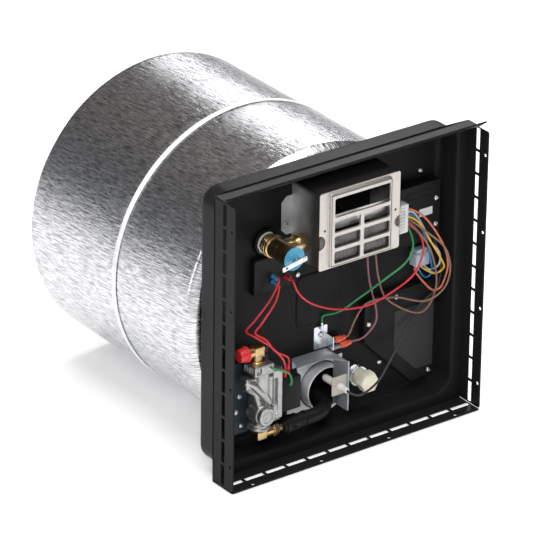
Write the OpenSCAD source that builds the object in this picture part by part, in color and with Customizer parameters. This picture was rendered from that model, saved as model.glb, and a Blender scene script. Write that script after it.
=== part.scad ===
// Gas water heater for a caravan wall: a round foil-wrapped tank behind a square
// black front pan that carries the burner, gas valve, controls, relief valve,
// drain plug and exhaust.
// Millimetres. X runs right as seen from the front, Y runs back, Z runs up.
// Origin: middle of the front rim, level with the floor the heater rests on.

/* [Front rim] */
// Width of the rim across its side flanges
rim_w = 411; // [400:1:422]
// Height of the rim across its top and bottom flanges
rim_h = 411; // [405:1:422]
// Depth of the rim from its front edge to the ledge
rim_d = 44; // [40:1:50]
// Width of the front strip beyond the slotted fold line
strip_w = 20; // [16:1:24]
// Upward bend of the top strip, degrees
top_bend = 40; // [0:5:60]
// Thickness of the sheet steel
sheet = 1; // [0.8:0.1:1.4]

/* [Pan] */
// Depth of the whole pan from the front edge to the back of its rear wall
pan_d = 82; // [78:1:95]
// Rounding of the pan's upright corners
pan_r = 24; // [15:1:30]

/* [Tank] */
// Outer radius of the foil wrap
wrap_r = 206; // [204:1:215]
// Length of the foil wrap behind the pan
wrap_len = 371; // [360:1:420]
// Thickness of the blanket around the tank
blanket = 19; // [16:1:22]
// Wall thickness of the steel tank
tank_wall = 2.5; // [2:0.5:3.5]
// Width of the white strap round the wrap
strap_w = 8.5; // [6:0.5:14]

/* [Flue] */
// Outer radius of the flue tube
flue_r = 32; // [31:0.5:33.5]
// Wall thickness of the flue tube
flue_wall = 2; // [1.5:0.5:2]

/* [Wiring] */
// Diameter of the thin wires
wire_d = 2.8; // [2:0.1:3]
// Diameter of the ignition lead
lead_d = 3.2; // [2.6:0.1:5]

/* [Hidden] */
$fn = 64;
// Running clearance between round pieces
clear = 0.3;
// Overshoot of a cutting body
over = 1;

// Front face of the pan's rear wall: pieces in the pan are placed from it
wall_y = pan_d - sheet;
// Pan box: left, right, bottom and top outer faces
box_l = -rim_w / 2 + 3;
box_r = rim_w / 2 - 16.5;
box_b = 16;
box_t = rim_h - 2;
// Gap left between neighbouring flanges
flange_gap = 1.2;
// Relief of the front strip at each end of its fold
strip_relief = 0.4;
// Slots along the fold line and screw holes along the front edge
slot_count = 12;
slot_len = 30;
slot_w = 7.5;
// How far the slots lie behind the fold line
slot_back = 2;
flange_pitch = 112;
flange_hole_r = 2.3;
flange_hole_inset = 6;

// Tank axis, and the tank's two ends
tank_x = -10;
tank_z = wrap_r;
foil = 1.2;
tank_r = wrap_r - foil - blanket;
tank_y0 = pan_d + 10;
tank_y1 = pan_d + wrap_len - 13;
tank_edge = 8;
strap_t = 0.8;
strap_y = pan_d + 172;

// Flue mouth (low) and exhaust end (high), and the straight run before the bend
flue_x = -4;
flue_z = round(tank_z - 0.675 * wrap_r);
vent_z = round(tank_z + 0.578 * wrap_r);
mouth_x = -9;
mouth_z = vent_z - 17;
flue_run = 178;
flue_out = 16;
vent_out = 12;
// Pieces round the flue mouth are drawn for one height of it, and rise or sink with it
low = flue_z - 67;
flue_span = norm([mouth_x - flue_x, mouth_z - flue_z]);
flue_tilt = atan2(mouth_x - flue_x, mouth_z - flue_z);

// Water fittings on the back
port_x = 95;
cold_z = 120;
hot_z = 300;
port_r = 15;
port_bore_r = 9.5;
port_len = 34;
port_step = 12;
port_tail_r = 8;
port_neck_r = 11;
dip_len = 140;

// Exhaust box and its grille
vent_l = -55;
vent_r = 74;
vent_b = vent_z - 53;
vent_t = vent_b + 108;
vent_d = 60;
flange_t = 1;
vent_ear = 18;
grille_l = -34;
grille_r = 55.8;
// Bars between the two columns of openings
grille_bar = [8, 13.6];
grille_rows = [6, 28, 50];
grille_top = 72;
grille_row_h = 16.8;
grille_top_h = 26.5;
grille_out = 5.2;

// Relief valve axis and fits
relief_x = -99.5;
relief_z = 304;
relief_hole_r = 19;
relief_tail_r = 12.5;
stem_r = 2.2;
pin_r = 1.2;
lever_tilt = 10.5;

// Thermostat and limit switch
stat_x = -95;
stat_z = 251;
limit_x = -71;
limit_z = 249;
disc_r = 9.5;
stat_window = [-112, -60, 238, 264];

// Gas valve: depth in front of the wall and the block it is cast in
valve_y = -37;
valve_d = 32;
valve_l = -146;
valve_r = -104;
valve_t = 155;
valve_out_x = -131.5;
inlet_x = -136;
inlet_z = 170.5;
plunger_r = 5.5;
plunger_z = 100;
coil_r_x = -74;

// Hood over the flue mouth: its top and its right face
hood_z = 119;
hood_x = 5;

// Burner tube
burner_r = 10;
burner_y = -39;
burner_z = 49;
burner_bend = 36;
burner_x0 = -96;
burner_x1 = -44;

// Igniter
ceramic_r = 5;
ceramic_x = -7;
ceramic_z = 84.5;

// Drain
drain_x = 51;
drain_z = 68;
// How far the neck stands out of the wall
drain_out = 14;
drain_neck_r = 15;
drain_tail_r = 12;
drain_thread_r = 9.2;

// Control box
case_l = vent_r + vent_ear + 8;
case_r = box_r - 11;
case_b = 240;
case_t = case_b + 86;
case_d = 17;
// Plug on the board, and the plug halfway along the harness
plug_l = case_l + 4;
plug_b = case_b + 34;
plug_h = 33;
inline_l = case_r - 36;
inline_b = case_b - 37;

// Wiring cover on the lower right
cover_d = 12;
cover_slant = tan(22.5);
function cover_outline(t) = [
    [case_r - 118 + t, 170 - t], [case_r - 118 + t, 114 + t * cover_slant], [case_r - 38 + t * cover_slant, 34 + t],
    [case_r - t, 34 + t], [case_r - t, 176 - t], [case_r - 78, 176 - t]];

// Screws: x, z, the face each head seats on and the depth its shank reaches
head_r = 4;
head_h = 2.4;
shank_r = 1.5;
case_posts = [[case_r - 7, case_b + 60], [case_r - 7, case_b + 22]];
cover_posts = [[case_r - 111.3, 140], [case_r - 66, 168], [case_r - 8, 42]];
screw_list = [
    [vent_l - 11, vent_b + 49, -flange_t, sheet], [vent_r + vent_ear / 2, vent_b + 63, -flange_t, sheet],
    for (p = case_posts) [p[0], p[1], -case_d, sheet],
    for (p = cover_posts) [p[0], p[1], -cover_d, sheet],
    [inline_l + 12, inline_b - 12, 0, sheet], [case_r - 83, 71, 0, sheet], [case_r - 22, case_t + 11, 0, sheet],
    [-44, 240, 0, sheet], [-171, 100 + low, -1.5, sheet], [-98, 140 + low, -1.5, sheet],
    [-151, 101 + low, -20, -18.5], [-156, 79 + low, -20, -18.5], [-148, 57 + low, -20, -18.5],
    [-5, 142 + low, -1.5, sheet], [-38, 111 + low, -1, sheet]
];

// Box between two corners
module block(x0, x1, y0, y1, z0, z1) {
    translate([x0, y0, z0]) cube([x1 - x0, y1 - y0, z1 - z0]);
}

// Outline drawn in X and Z, given depth from y0 back to y1
module prism_y(y0, y1) {
    translate([0, y1, 0]) rotate([90, 0, 0]) linear_extrude(y1 - y0) children();
}

// Rectangle with rounded corners
module round_rect(x0, x1, z0, z1, r) {
    translate([x0 + r, z0]) square([x1 - x0 - 2 * r, z1 - z0]);
    translate([x0, z0 + r]) square([x1 - x0, z1 - z0 - 2 * r]);
    for (x = [x0 + r, x1 - r], z = [z0 + r, z1 - r]) translate([x, z]) circle(r);
}

// Cylinders along each axis
module rod_x(x0, x1, y, z, r) {
    translate([x0, y, z]) rotate([0, 90, 0]) cylinder(h = x1 - x0, r = r);
}
module rod_y(x, z, y0, y1, r) {
    translate([x, y1, z]) rotate([90, 0, 0]) cylinder(h = y1 - y0, r = r);
}
module rod_z(x, y, z0, z1, r) {
    translate([x, y, z0]) cylinder(h = z1 - z0, r = r);
}

// Places pieces from the front face of the pan's rear wall
module at_wall() {
    translate([0, wall_y, 0]) children();
}

// Places pieces that keep their height from the flue mouth
module at_low() {
    translate([0, wall_y, low]) children();
}

// Shanks of all the screws, grown by a clearance for the holes they pass through
module screw_shanks(grow) {
    for (s = screw_list) rod_y(s[0], s[1], s[2] - (grow > 0 ? over : 0), s[3] + (grow > 0 ? over : 0), shank_r + grow);
}

// Openings that the tank's fittings need through the pan, wrap and blanket
module front_openings(y0, y1) {
    rod_y(relief_x, relief_z, y0, y1, relief_hole_r);
    rod_y(flue_x, flue_z, y0, y1, flue_r + clear);
    rod_y(mouth_x, mouth_z, y0, y1, flue_r + clear);
    rod_y(drain_x, drain_z, y0, y1, drain_neck_r + clear);
    prism_y(y0, y1) round_rect(stat_window[0], stat_window[1], stat_window[2], stat_window[3], 3);
}

// One rim flange: X along its length, Y to the front, Z outward
module flange(len, bend, chamfer) {
    flat = rim_d - strip_w;
    half = len / 2 - strip_relief;
    difference() {
        union() {
            block(-len / 2, len / 2, 0, flat, -sheet, 0);
            translate([0, flat, -sheet]) rotate([bend, 0, 0]) linear_extrude(sheet)
                polygon([[-half, 0], [half, 0], [half, strip_w - chamfer],
                         [half - chamfer, strip_w], [-half + 2, strip_w], [-half, strip_w - 2]]);
        }
        for (i = [0:slot_count - 1])
            translate([(i - (slot_count - 1) / 2) * (len / slot_count), flat - slot_back, 0])
                cube([slot_len, slot_w, 4 * sheet], center = true);
        translate([0, flat, -sheet]) rotate([bend, 0, 0])
            for (i = [-1.5:1.5])
                translate([i * flange_pitch, strip_w - flange_hole_inset, -over])
                    cylinder(h = sheet + 2 * over, r = flange_hole_r);
    }
}

module pan() {
    side_len = rim_h - 2 * (sheet + flange_gap);
    color("DimGray") difference() {
        union() {
            difference() {
                prism_y(rim_d - sheet, pan_d) round_rect(box_l, box_r, box_b, box_t, pan_r);
                prism_y(rim_d - sheet - over, wall_y)
                    round_rect(box_l + sheet, box_r - sheet, box_b + sheet, box_t - sheet, pan_r - sheet);
            }
            difference() {
                block(-rim_w / 2, rim_w / 2, rim_d - sheet, rim_d, 0, rim_h);
                prism_y(rim_d - sheet - over, rim_d + over)
                    round_rect(box_l + sheet, box_r - sheet, box_b + sheet, box_t - sheet, pan_r - sheet);
            }
            translate([0, rim_d, 0]) rotate([180, 0, 0]) flange(rim_w, 0, 2);
            translate([0, rim_d, rim_h]) rotate([0, 0, 180]) flange(rim_w, top_bend, 12);
            translate([-rim_w / 2, rim_d, rim_h / 2]) rotate([0, 0, 180]) rotate([0, 90, 0]) flange(side_len, 0, 2);
            translate([rim_w / 2, rim_d, rim_h / 2]) rotate([0, 0, 180]) rotate([0, -90, 0]) flange(side_len, 0, 2);
            // Stiffening panel pressed into the rear wall
            prism_y(wall_y - 2, wall_y) round_rect(-46, 30, 160, 236, 10);
        }
        front_openings(wall_y - over, pan_d + over);
        at_wall() screw_shanks(clear);
    }
}

// Solid drum on the tank's axis
module drum(y0, y1, r) {
    rod_y(tank_x, tank_z, y0, y1, r, $fn = 128);
}

// Openings for the water fittings through the back
module rear_openings(y0, y1) {
    for (z = [cold_z, hot_z]) rod_y(port_x, z, y0, y1, port_r + clear);
}

module foil_jacket() {
    color("Silver") difference() {
        drum(pan_d, pan_d + wrap_len, wrap_r);
        drum(pan_d + foil, pan_d + wrap_len - foil, wrap_r - foil);
        front_openings(pan_d - over, pan_d + foil + over);
        rear_openings(pan_d + wrap_len - foil - over, pan_d + wrap_len + over);
    }
}

module blanket_wrap() {
    color("Gold") difference() {
        drum(pan_d + foil, pan_d + wrap_len - foil, wrap_r - foil - clear);
        drum(tank_y0, tank_y1, tank_r + clear);
        front_openings(pan_d, tank_y0 + over);
        rear_openings(tank_y1 - over, pan_d + wrap_len);
    }
}

module strap_band() {
    color("White") difference() {
        drum(strap_y - strap_w / 2, strap_y + strap_w / 2, wrap_r + clear / 2 + strap_t);
        drum(strap_y - strap_w, strap_y + strap_w, wrap_r + clear / 2);
    }
}

// Tank outline turned round the tank's axis
module tank_form(y0, y1, r, edge) {
    translate([tank_x, y0, tank_z]) rotate([-90, 0, 0]) rotate_extrude($fn = 128) {
        square([r - edge, y1 - y0]);
        translate([0, edge]) square([r, y1 - y0 - 2 * edge]);
        for (y = [edge, y1 - y0 - edge]) translate([r - edge, y]) circle(edge);
    }
}

module tank_shell() {
    color("SlateGray") difference() {
        tank_form(tank_y0, tank_y1, tank_r, tank_edge);
        tank_form(tank_y0 + tank_wall, tank_y1 - tank_wall, tank_r - tank_wall, tank_edge - tank_wall);
        rod_y(relief_x, relief_z, tank_y0 - over, tank_y0 + 2 * tank_wall, relief_tail_r + clear);
        rod_y(flue_x, flue_z, tank_y0 - over, tank_y0 + 2 * tank_wall, flue_r + clear);
        rod_y(mouth_x, mouth_z, tank_y0 - over, tank_y0 + 2 * tank_wall, flue_r + clear);
        rod_y(drain_x, drain_z, tank_y0 - over, tank_y0 + 2 * tank_wall, drain_tail_r + clear);
        for (z = [cold_z, hot_z])
            rod_y(port_x, z, tank_y1 - 2 * tank_wall, tank_y1 + over, port_neck_r + clear);
    }
}

// Straight length of the flue, open at both ends
module flue_length(z, y0) {
    difference() {
        rod_y(0, z, y0, wall_y + flue_run, flue_r);
        rod_y(0, z, y0 - over, wall_y + flue_run + over, flue_r - flue_wall);
    }
}

// In low, round a half turn at the back, out high
module flue_tube() {
    color("Gray") translate([flue_x, 0, flue_z]) rotate([0, flue_tilt, 0]) {
        flue_length(0, wall_y - flue_out);
        flue_length(flue_span, wall_y - vent_out);
        translate([0, wall_y + flue_run, flue_span / 2]) rotate([0, 90, 0])
            rotate_extrude(angle = 180) translate([flue_span / 2, 0]) difference() {
                circle(flue_r);
                circle(flue_r - flue_wall);
            }
    }
}

// Threaded socket for a half-inch water pipe
module water_port(z) {
    difference() {
        union() {
            rod_y(port_x, z, tank_y1, tank_y1 + port_len, port_r);
            rod_y(port_x, z, tank_y1 - tank_wall - 2, tank_y1, port_neck_r);
        }
        rod_y(port_x, z, tank_y1 - tank_wall - 3, tank_y1 + port_len, port_tail_r);
        rod_y(port_x, z, tank_y1 + port_step, tank_y1 + port_len + over, port_bore_r);
    }
}

module cold_port() { color("SlateGray") water_port(cold_z); }
module hot_port() { color("SlateGray") water_port(hot_z); }

module dip_tube() {
    color("White") difference() {
        union() {
            rod_y(port_x, cold_z, tank_y1 - dip_len + 10, tank_y1 + port_step, port_tail_r - clear);
            rod_y(port_x, cold_z, tank_y1 - dip_len, tank_y1 - dip_len + 10, port_tail_r - 1);
        }
        rod_y(port_x, cold_z, tank_y1 - dip_len - over, tank_y1 + port_step + over, port_tail_r - 2);
    }
}

// Side flange of the exhaust box with clipped corners
module vent_flange(x0, x1, z0, z1) {
    clip = 8;
    prism_y(-flange_t, 0)
        polygon(x0 < vent_l
            ? [[x1, z0], [x1, z1], [x0 + clip, z1], [x0, z1 - clip], [x0, z0 + clip], [x0 + clip, z0]]
            : [[x0, z0], [x0, z1], [x1 - clip, z1], [x1, z1 - clip], [x1, z0 + clip], [x1 - clip, z0]]);
}

module exhaust_box() {
    color("LightSteelBlue") at_wall() difference() {
        union() {
            difference() {
                block(vent_l, vent_r, -vent_d, 0, vent_b, vent_t);
                block(vent_l + sheet, vent_r - sheet, -vent_d - over, over, vent_b + sheet, vent_t - sheet);
            }
            vent_flange(vent_l - 17.5, vent_l + sheet / 2, vent_b + 31.5, vent_b + 86.5);
            vent_flange(vent_r - sheet / 2, vent_r + vent_ear, vent_b + 35, vent_b + 92);
        }
        screw_shanks(clear);
    }
}

// Grille openings: one wide one above three rows of two
module grille_openings() {
    translate([grille_l, vent_b + grille_top]) square([grille_r - grille_l, grille_top_h]);
    for (z = grille_rows, x = [[grille_l, grille_bar[0]], [grille_bar[1], grille_r]])
        translate([x[0], vent_b + z]) square([x[1] - x[0], grille_row_h]);
}

module exhaust_grille() {
    color("Linen") at_wall() difference() {
        union() {
            prism_y(-vent_d - 1.2, -vent_d) round_rect(vent_l - 1, vent_r + 1, vent_b - 1, vent_t + 1, 2);
            prism_y(-vent_d - grille_out, -vent_d) round_rect(-42.4, 61, vent_b, vent_t - 1, 3);
        }
        prism_y(-vent_d - grille_out + 1.2, -vent_d + over) round_rect(-40.9, 59.5, vent_b + 1.5, vent_t - 2.5, 2);
        prism_y(-vent_d - grille_out - over, -vent_d + over) grille_openings();
        rod_y(vent_l - 1, vent_b + 39, -vent_d - 2 * over, -vent_d + over, 10);
        rod_y(vent_r + 1, vent_b + 37, -vent_d - 2 * over, -vent_d + over, 8);
    }
}

module exhaust_baffle() {
    color("Gainsboro") at_wall()
        translate([vent_l + sheet, -vent_d + 5, vent_b + 69]) rotate([-80, 0, 0])
            cube([vent_r - vent_l - 2 * sheet, 23, 0.8]);
}

module exhaust_screen() {
    color("Gray") at_wall() difference() {
        block(vent_l + sheet, vent_r - sheet, -vent_d, -vent_d + 0.8, vent_b + sheet, vent_b + 46);
        for (i = [0:14], j = [0:4])
            block(grille_l + 6 * i - 0.5, grille_l + 6 * i + 4, -vent_d - over, -vent_d + 2,
                  vent_b + 7 + 8 * j, vent_b + 12.5 + 8 * j);
    }
}

// Places relief valve pieces on the valve's axis
module at_relief() {
    translate([relief_x, wall_y, relief_z]) children();
}

module relief_bushing() {
    color("White") at_relief() difference() {
        rod_y(0, 0, -9, tank_y0 - wall_y, relief_hole_r - 0.5);
        rod_y(0, 0, -10, tank_y0 - wall_y + over, 13 + clear);
    }
}

module relief_body() {
    tail = tank_y0 - wall_y + tank_wall + 1;
    color("Peru") at_relief() difference() {
        union() {
            rod_y(0, 0, -41, -14, 13);
            rod_y(0, 0, -24, -18, 15.5);
            rod_y(0, 0, -14, -9, 15, $fn = 6);
            rod_y(0, 0, -9, tail, relief_tail_r);
            rod_y(0, 0, -65, -41, 14.5);
            rod_x(0, 40, -31, 0, 10.5);
            rod_x(28, 40, -31, 0, 13);
        }
        rod_y(0, 0, -45, -2, 9);
        rod_y(0, 0, -3, tail + over, 6);
        rod_y(0, 0, -66, -44, stem_r + clear);
        rod_x(0, 41, -31, 0, 7.5);
    }
}

module relief_disc() {
    color("DeepSkyBlue") at_relief() difference() {
        rod_y(0, 0, -67, -65, 16);
        rod_y(0, 0, -68, -64, stem_r + clear);
    }
}

module relief_stem() {
    color("Peru") at_relief() difference() {
        union() {
            rod_y(0, 0, -73.5, -7, stem_r);
            rod_y(0, 0, -8, -2, 8);
        }
        rotate([0, -lever_tilt, 0]) rod_z(0, -71, -4, 4, pin_r + clear / 3);
    }
}

module relief_pin() {
    color("Silver") at_relief() rotate([0, -lever_tilt, 0]) rod_z(0, -71, -4.2, 4.2, pin_r);
}

module relief_lever() {
    color("LightGray") at_relief() rotate([0, -lever_tilt, 0]) difference() {
        union() {
            block(-27, 13, -77, -75.5, -3.6, 3.6);
            for (z = [-3.6, 2.6]) block(-4, 4, -76, -68, z, z + 1);
        }
        rod_y(-20, 0, -78, -75, 1.8);
        for (z = [-3.6, 2.6]) rod_z(0, -71, z - over, z + 1 + over, pin_r);
    }
}

// Points of a helix along Y
function helix(y0, y1, r, turns, steps) =
    [for (i = [0:steps]) [r * cos(360 * turns * i / steps), y0 + (y1 - y0) * i / steps, r * sin(360 * turns * i / steps)]];

// Smooth path through hand-placed points, a few steps between neighbours
function at(p, i) = p[max(0, min(len(p) - 1, i))];
function spline(a, b, c, d, t) =
    0.5 * (2 * b + (c - a) * t + (2 * a - 5 * b + 4 * c - d) * t * t + (3 * b - a - 3 * c + d) * t * t * t);
function smooth(p, step) = concat(
    [for (i = [0:len(p) - 2]) let (n = max(1, round(norm(p[i + 1] - p[i]) / step)))
        for (k = [0:n - 1]) spline(at(p, i - 1), p[i], p[i + 1], at(p, i + 2), k / n)],
    [p[len(p) - 1]]);
function unit(v) = v / norm(v);
function tangent(p, i) = unit(at(p, i + 1) - at(p, i - 1));
function turned(n, t) = unit(n - t * (n * t));
// Directions across the path, carried along it without twist
function carried(p) = [for (i = 0, n = turned([0.31, 0.52, 0.8], tangent(p, 0)); i < len(p);
    i = i + 1, n = turned(n, tangent(p, min(i, len(p) - 1)))) n];

// Round tube swept along a path
module sweep(p, r, sides = 8) {
    n = carried(p);
    rings = [for (i = [0:len(p) - 1], k = [0:sides - 1])
        p[i] + r * (cos(360 * k / sides) * n[i] + sin(360 * k / sides) * cross(tangent(p, i), n[i]))];
    last = (len(p) - 1) * sides;
    faces = concat(
        [[for (k = [0:sides - 1]) k]],
        [for (i = [0:len(p) - 2], k = [0:sides - 1]) let (a = i * sides, m = (k + 1) % sides)
            [a + k, a + sides + k, a + sides + m]],
        [for (i = [0:len(p) - 2], k = [0:sides - 1]) let (a = i * sides, m = (k + 1) % sides)
            [a + k, a + sides + m, a + m]],
        [[for (k = [0:sides - 1]) last + sides - 1 - k]]);
    polyhedron(points = rings, faces = faces, convexity = 6);
}

module relief_spring() {
    color("Silver") at_relief() sweep(helix(-44.1, -8.9, 5.6, 7, 98), 0.8, 6);
}

module thermostat_disc() {
    color("DarkSlateGray") at_wall() rod_y(stat_x, stat_z, -6, tank_y0 - wall_y, disc_r);
}
module limit_disc() {
    color("DarkSlateGray") at_wall() rod_y(limit_x, limit_z, -6, tank_y0 - wall_y, disc_r);
}

module thermostat_cover() {
    color("Black") at_wall() difference() {
        prism_y(-11, 0) round_rect(-122, -57, 232, 284, 4);
        prism_y(-9.5, over) round_rect(-120, -59, 234, 282, 3);
        for (z = [255, 247]) rod_y(-92, z, -12, -9, 3 + clear);
        rod_y(limit_x, limit_z, -12, -9, 3 + clear);
    }
}

// Insulated push-on terminal standing out from a disc
module sleeve(x, z) {
    rod_y(x, z, -20, -6, 3);
}
module blue_terminals() { color("RoyalBlue") at_wall() for (z = [255, 247]) sleeve(-92, z); }
module red_terminal() { color("Crimson") at_wall() sleeve(limit_x, limit_z); }

module valve_body() {
    front = valve_y - valve_d / 2;
    back = valve_y + valve_d / 2 + 1;
    color("Gainsboro") at_low() difference() {
        union() {
            block(valve_l, valve_r, front + 1, valve_y, 62, 142);
            block(valve_l + 7, valve_r, valve_y - 1, back, 62, 142);
            block(-150, -113, front, back - 6, 141, valve_t);
            rod_x(-157, valve_l + over, valve_y - 4, 125, 8);
            rod_z(valve_out_x, valve_y, 57, 62 + over, 15);
        }
        rod_z(inlet_x, valve_y, valve_t - 10, valve_t + over, 6);
        rod_x(inlet_x, -118, valve_y, valve_t - 6, 3.5);
        rod_z(-118, valve_y, plunger_z, valve_t - 6, 3, $fn = 32);
        rod_x(-122, valve_r + over, valve_y, plunger_z, plunger_r + 2.5);
        rod_x(-132, -121, valve_y, plunger_z, 3.5);
        rod_z(valve_out_x, valve_y, 56, plunger_z, 5);
        rod_y(-133, 81, front, front + 9, 8);
    }
}

module regulator_cap() {
    front = valve_y - valve_d / 2;
    color("Silver") at_low() difference() {
        union() {
            rod_y(-133, 81, front - 6, front + 1, 12.6);
            rod_y(-133, 81, front, front + 9, 8 - clear);
        }
        block(-143, -123, front - 7, front - 4.5, 80, 82);
    }
}

module inlet_elbow() {
    color("Peru") at_low() difference() {
        union() {
            rod_z(inlet_x, valve_y, valve_t - 7, valve_t, 6 - clear);
            rod_z(inlet_x, valve_y, valve_t, valve_t + 3, 9);
            rod_z(inlet_x, valve_y, valve_t + 2, inlet_z, 7.5);
            translate([inlet_x, valve_y, inlet_z]) sphere(7.5);
            rod_x(inlet_x - 22, inlet_x, valve_y, inlet_z, 7.5);
        }
        rod_z(inlet_x, valve_y, valve_t - 8, inlet_z, 4);
        rod_x(inlet_x - 23, inlet_x, valve_y, inlet_z, 4.5);
    }
}

module inlet_cap() {
    color("Red") at_low() difference() {
        union() {
            rod_x(inlet_x - 30, inlet_x - 16, valve_y, inlet_z, 9.5);
            rod_x(inlet_x - 20, inlet_x - 16, valve_y, inlet_z, 11);
        }
        rod_x(inlet_x - 22, inlet_x - 15, valve_y, inlet_z, 7.5 + clear);
    }
}

module orifice_fitting() {
    color("Peru") at_low() difference() {
        union() {
            rod_z(valve_out_x, valve_y, 57, 64, 5 - clear);
            rod_z(valve_out_x, valve_y, 52, 57, 9);
            translate([valve_out_x, valve_y - 2, burner_z]) sphere(7.8);
            rod_x(valve_out_x, -104, valve_y - 2, burner_z, 7);
            rod_x(-112, -103, valve_y - 2, burner_z, 9.5, $fn = 6);
            rod_x(-104, burner_x0, valve_y - 2, burner_z, 6);
        }
        rod_z(valve_out_x, valve_y, burner_z, 65, 3);
        rod_x(valve_out_x, -98, valve_y - 2, burner_z, 3);
        rod_x(-99, burner_x0 + over, valve_y - 2, burner_z, 0.8);
    }
}

module valve_coil() {
    color("Black") at_low() difference() {
        union() {
            block(valve_r, coil_r_x, valve_y - 15, valve_y + 17, 76, 124);
            rod_x(coil_r_x, coil_r_x + 2, valve_y, plunger_z, 8);
        }
        rod_x(valve_r - over, -79, valve_y, plunger_z, plunger_r + clear);
    }
}

module valve_plunger() {
    color("Silver") at_low() difference() {
        union() {
            rod_x(-121.5, -88, valve_y, plunger_z, plunger_r);
            rod_x(-122, -119, valve_y, plunger_z, plunger_r + 1);
        }
        rod_x(-92, -87, valve_y, plunger_z, 3.6);
    }
}

module plunger_spring() {
    color("Silver") at_low() translate([-91.4, valve_y, plunger_z]) rotate([0, 0, -90])
        sweep(helix(0, 11.8, 2.9, 5, 60), 0.5, 6);
}

module valve_bracket() {
    color("SlateGray") difference() {
        at_low() {
            block(-166, -104, -20, -18.5, 46, 150);
            block(-166, -164.5, -20, 0, 46, 150);
            block(-105.5, -104, -20, 0, 66, 150);
            block(-178, -164.5, -1.5, 0, 84, 116);
            block(-105.5, -91, -1.5, 0, 130, 150);
        }
        at_wall() screw_shanks(clear);
    }
}

// Burner tube: across from the gas jet, round a bend and into the flue
module burner_path(r, x0, y1) {
    rod_x(x0, burner_x1, burner_y, burner_z, r);
    translate([burner_x1, burner_y + burner_bend, burner_z])
        rotate([0, 0, -90]) rotate_extrude(angle = 90) translate([burner_bend, 0]) circle(r);
    rod_y(burner_x1 + burner_bend, burner_z, burner_y + burner_bend, y1, r);
}

module burner_tube() {
    head_y = 110;
    color("DarkSlateGray") at_low() difference() {
        burner_path(burner_r, burner_x0, head_y);
        burner_path(burner_r - 1.2, burner_x0 + 1.2, head_y - 1.2);
        rod_x(burner_x0 - over, burner_x0 + 2, burner_y, burner_z, 6.5);
        for (z = [-14, 9]) block(-88, -76, burner_y - 4, burner_y + 4, burner_z + z, burner_z + z + 5);
        for (i = [0:8]) block(burner_x1 + burner_bend - 6, burner_x1 + burner_bend + 6, 62 + 5 * i, 64 + 5 * i,
                              burner_z + 6, burner_z + 11);
    }
}

module air_shutter() {
    color("Silver") at_low() difference() {
        union() {
            rod_x(-92, -72, burner_y, burner_z, burner_r + clear + 1.2);
            block(-84, -80, burner_y - 18, burner_y - 10.5, burner_z - 1, burner_z + 1);
        }
        rod_x(-93, -71, burner_y, burner_z, burner_r + clear);
        for (z = [-14, 7]) block(-88, -76, burner_y - 4, burner_y + 4, burner_z + z, burner_z + z + 7);
    }
}

// Plate on the wall round the flue mouth
module flue_collar() {
    color("LightSteelBlue") difference() {
        at_low() prism_y(-sheet, 0)
            polygon([[-43, 103], [-38, 72], [-40, 44], [-58, 43], [-58, 36], [-40, 33], [10, 33], [32, 48], [32, 103]]);
        at_wall() rod_y(flue_x, flue_z, -2 * sheet, over, flue_r + 1.2);
    }
}

// Hood over the flue mouth: top sheet, wall strip and the side that carries the igniter
module burner_bracket() {
    color("LightSteelBlue") difference() {
        at_low() {
            translate([0, 0, hood_z - sheet]) linear_extrude(sheet)
                polygon([[-51, 0], [hood_x, 0], [hood_x, -50], [-12, -27], [-62, -27]]);
            block(-51, hood_x, -sheet, 0, 103.5, hood_z);
            block(hood_x - sheet, hood_x, -50, -18, 46, hood_z);
        }
        at_wall() screw_shanks(clear);
    }
}

module electrode_clamp() {
    color("Tan") at_low() difference() {
        union() {
            block(-20, hood_x - sheet, -48, -46.5, 73, 100);
            block(ceramic_x - 7, ceramic_x + 7, -46.5, -43, ceramic_z - 7, ceramic_z + 7);
        }
        rod_y(ceramic_x, ceramic_z, -49, -42, ceramic_r + clear / 2);
    }
}

module electrode_ceramic() {
    color("White") at_low() {
        rod_y(ceramic_x, ceramic_z, -54, -13, ceramic_r);
        rod_y(ceramic_x, ceramic_z, -64, -54, ceramic_r - 1);
    }
}

module electrode_rods() {
    color("Silver") at_low() for (x = [-2.4, 2.4]) rod_y(ceramic_x + x, ceramic_z, -13, 34, 1.1);
}

module ground_tab() {
    color("Gainsboro") difference() {
        at_low() {
            block(-16, 6, -1.5, 0, 121, 154);
            block(4.5, 6, -16, 0, 121, 140);
            rod_z(-5, -3.5, 150, 160, 2.5);
        }
        at_wall() screw_shanks(clear);
    }
}

module thermal_cutoff() {
    color("DimGray") at_low() {
        rod_x(6, 20, -10, 121.5, 3.8);
        rod_x(6, 12, -10, 131.5, 3.2);
    }
}

module orange_terminals() {
    color("OrangeRed") at_low() {
        rod_x(20, 38, -10, 121.5, 4.7);
        rod_x(12, 28, -10, 131.5, 4.7);
    }
}

module drain_neck() {
    color("Silver") at_wall() difference() {
        union() {
            rod_y(drain_x, drain_z, -drain_out, tank_y0 - wall_y, drain_neck_r);
            rod_y(drain_x, drain_z, tank_y0 - wall_y, tank_y0 - wall_y + tank_wall + 2, drain_tail_r);
        }
        rod_y(drain_x, drain_z, -drain_out - over, tank_y0 - wall_y + tank_wall + 3, drain_thread_r + clear);
    }
}

module drain_plug() {
    color("Wheat") at_wall() {
        rod_y(drain_x, drain_z, -drain_out - 26, -drain_out - 10, 15, $fn = 6);
        rod_y(drain_x, drain_z, -drain_out - 11, -drain_out, 12.5);
        rod_y(drain_x, drain_z, -drain_out - over, 4, drain_thread_r);
    }
}

// Posts that carry screws through a hollow cover
module posts(depth, spots) {
    for (s = spots) rod_y(s[0], s[1], -depth + 0.5, 0, 4.5);
}

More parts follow.
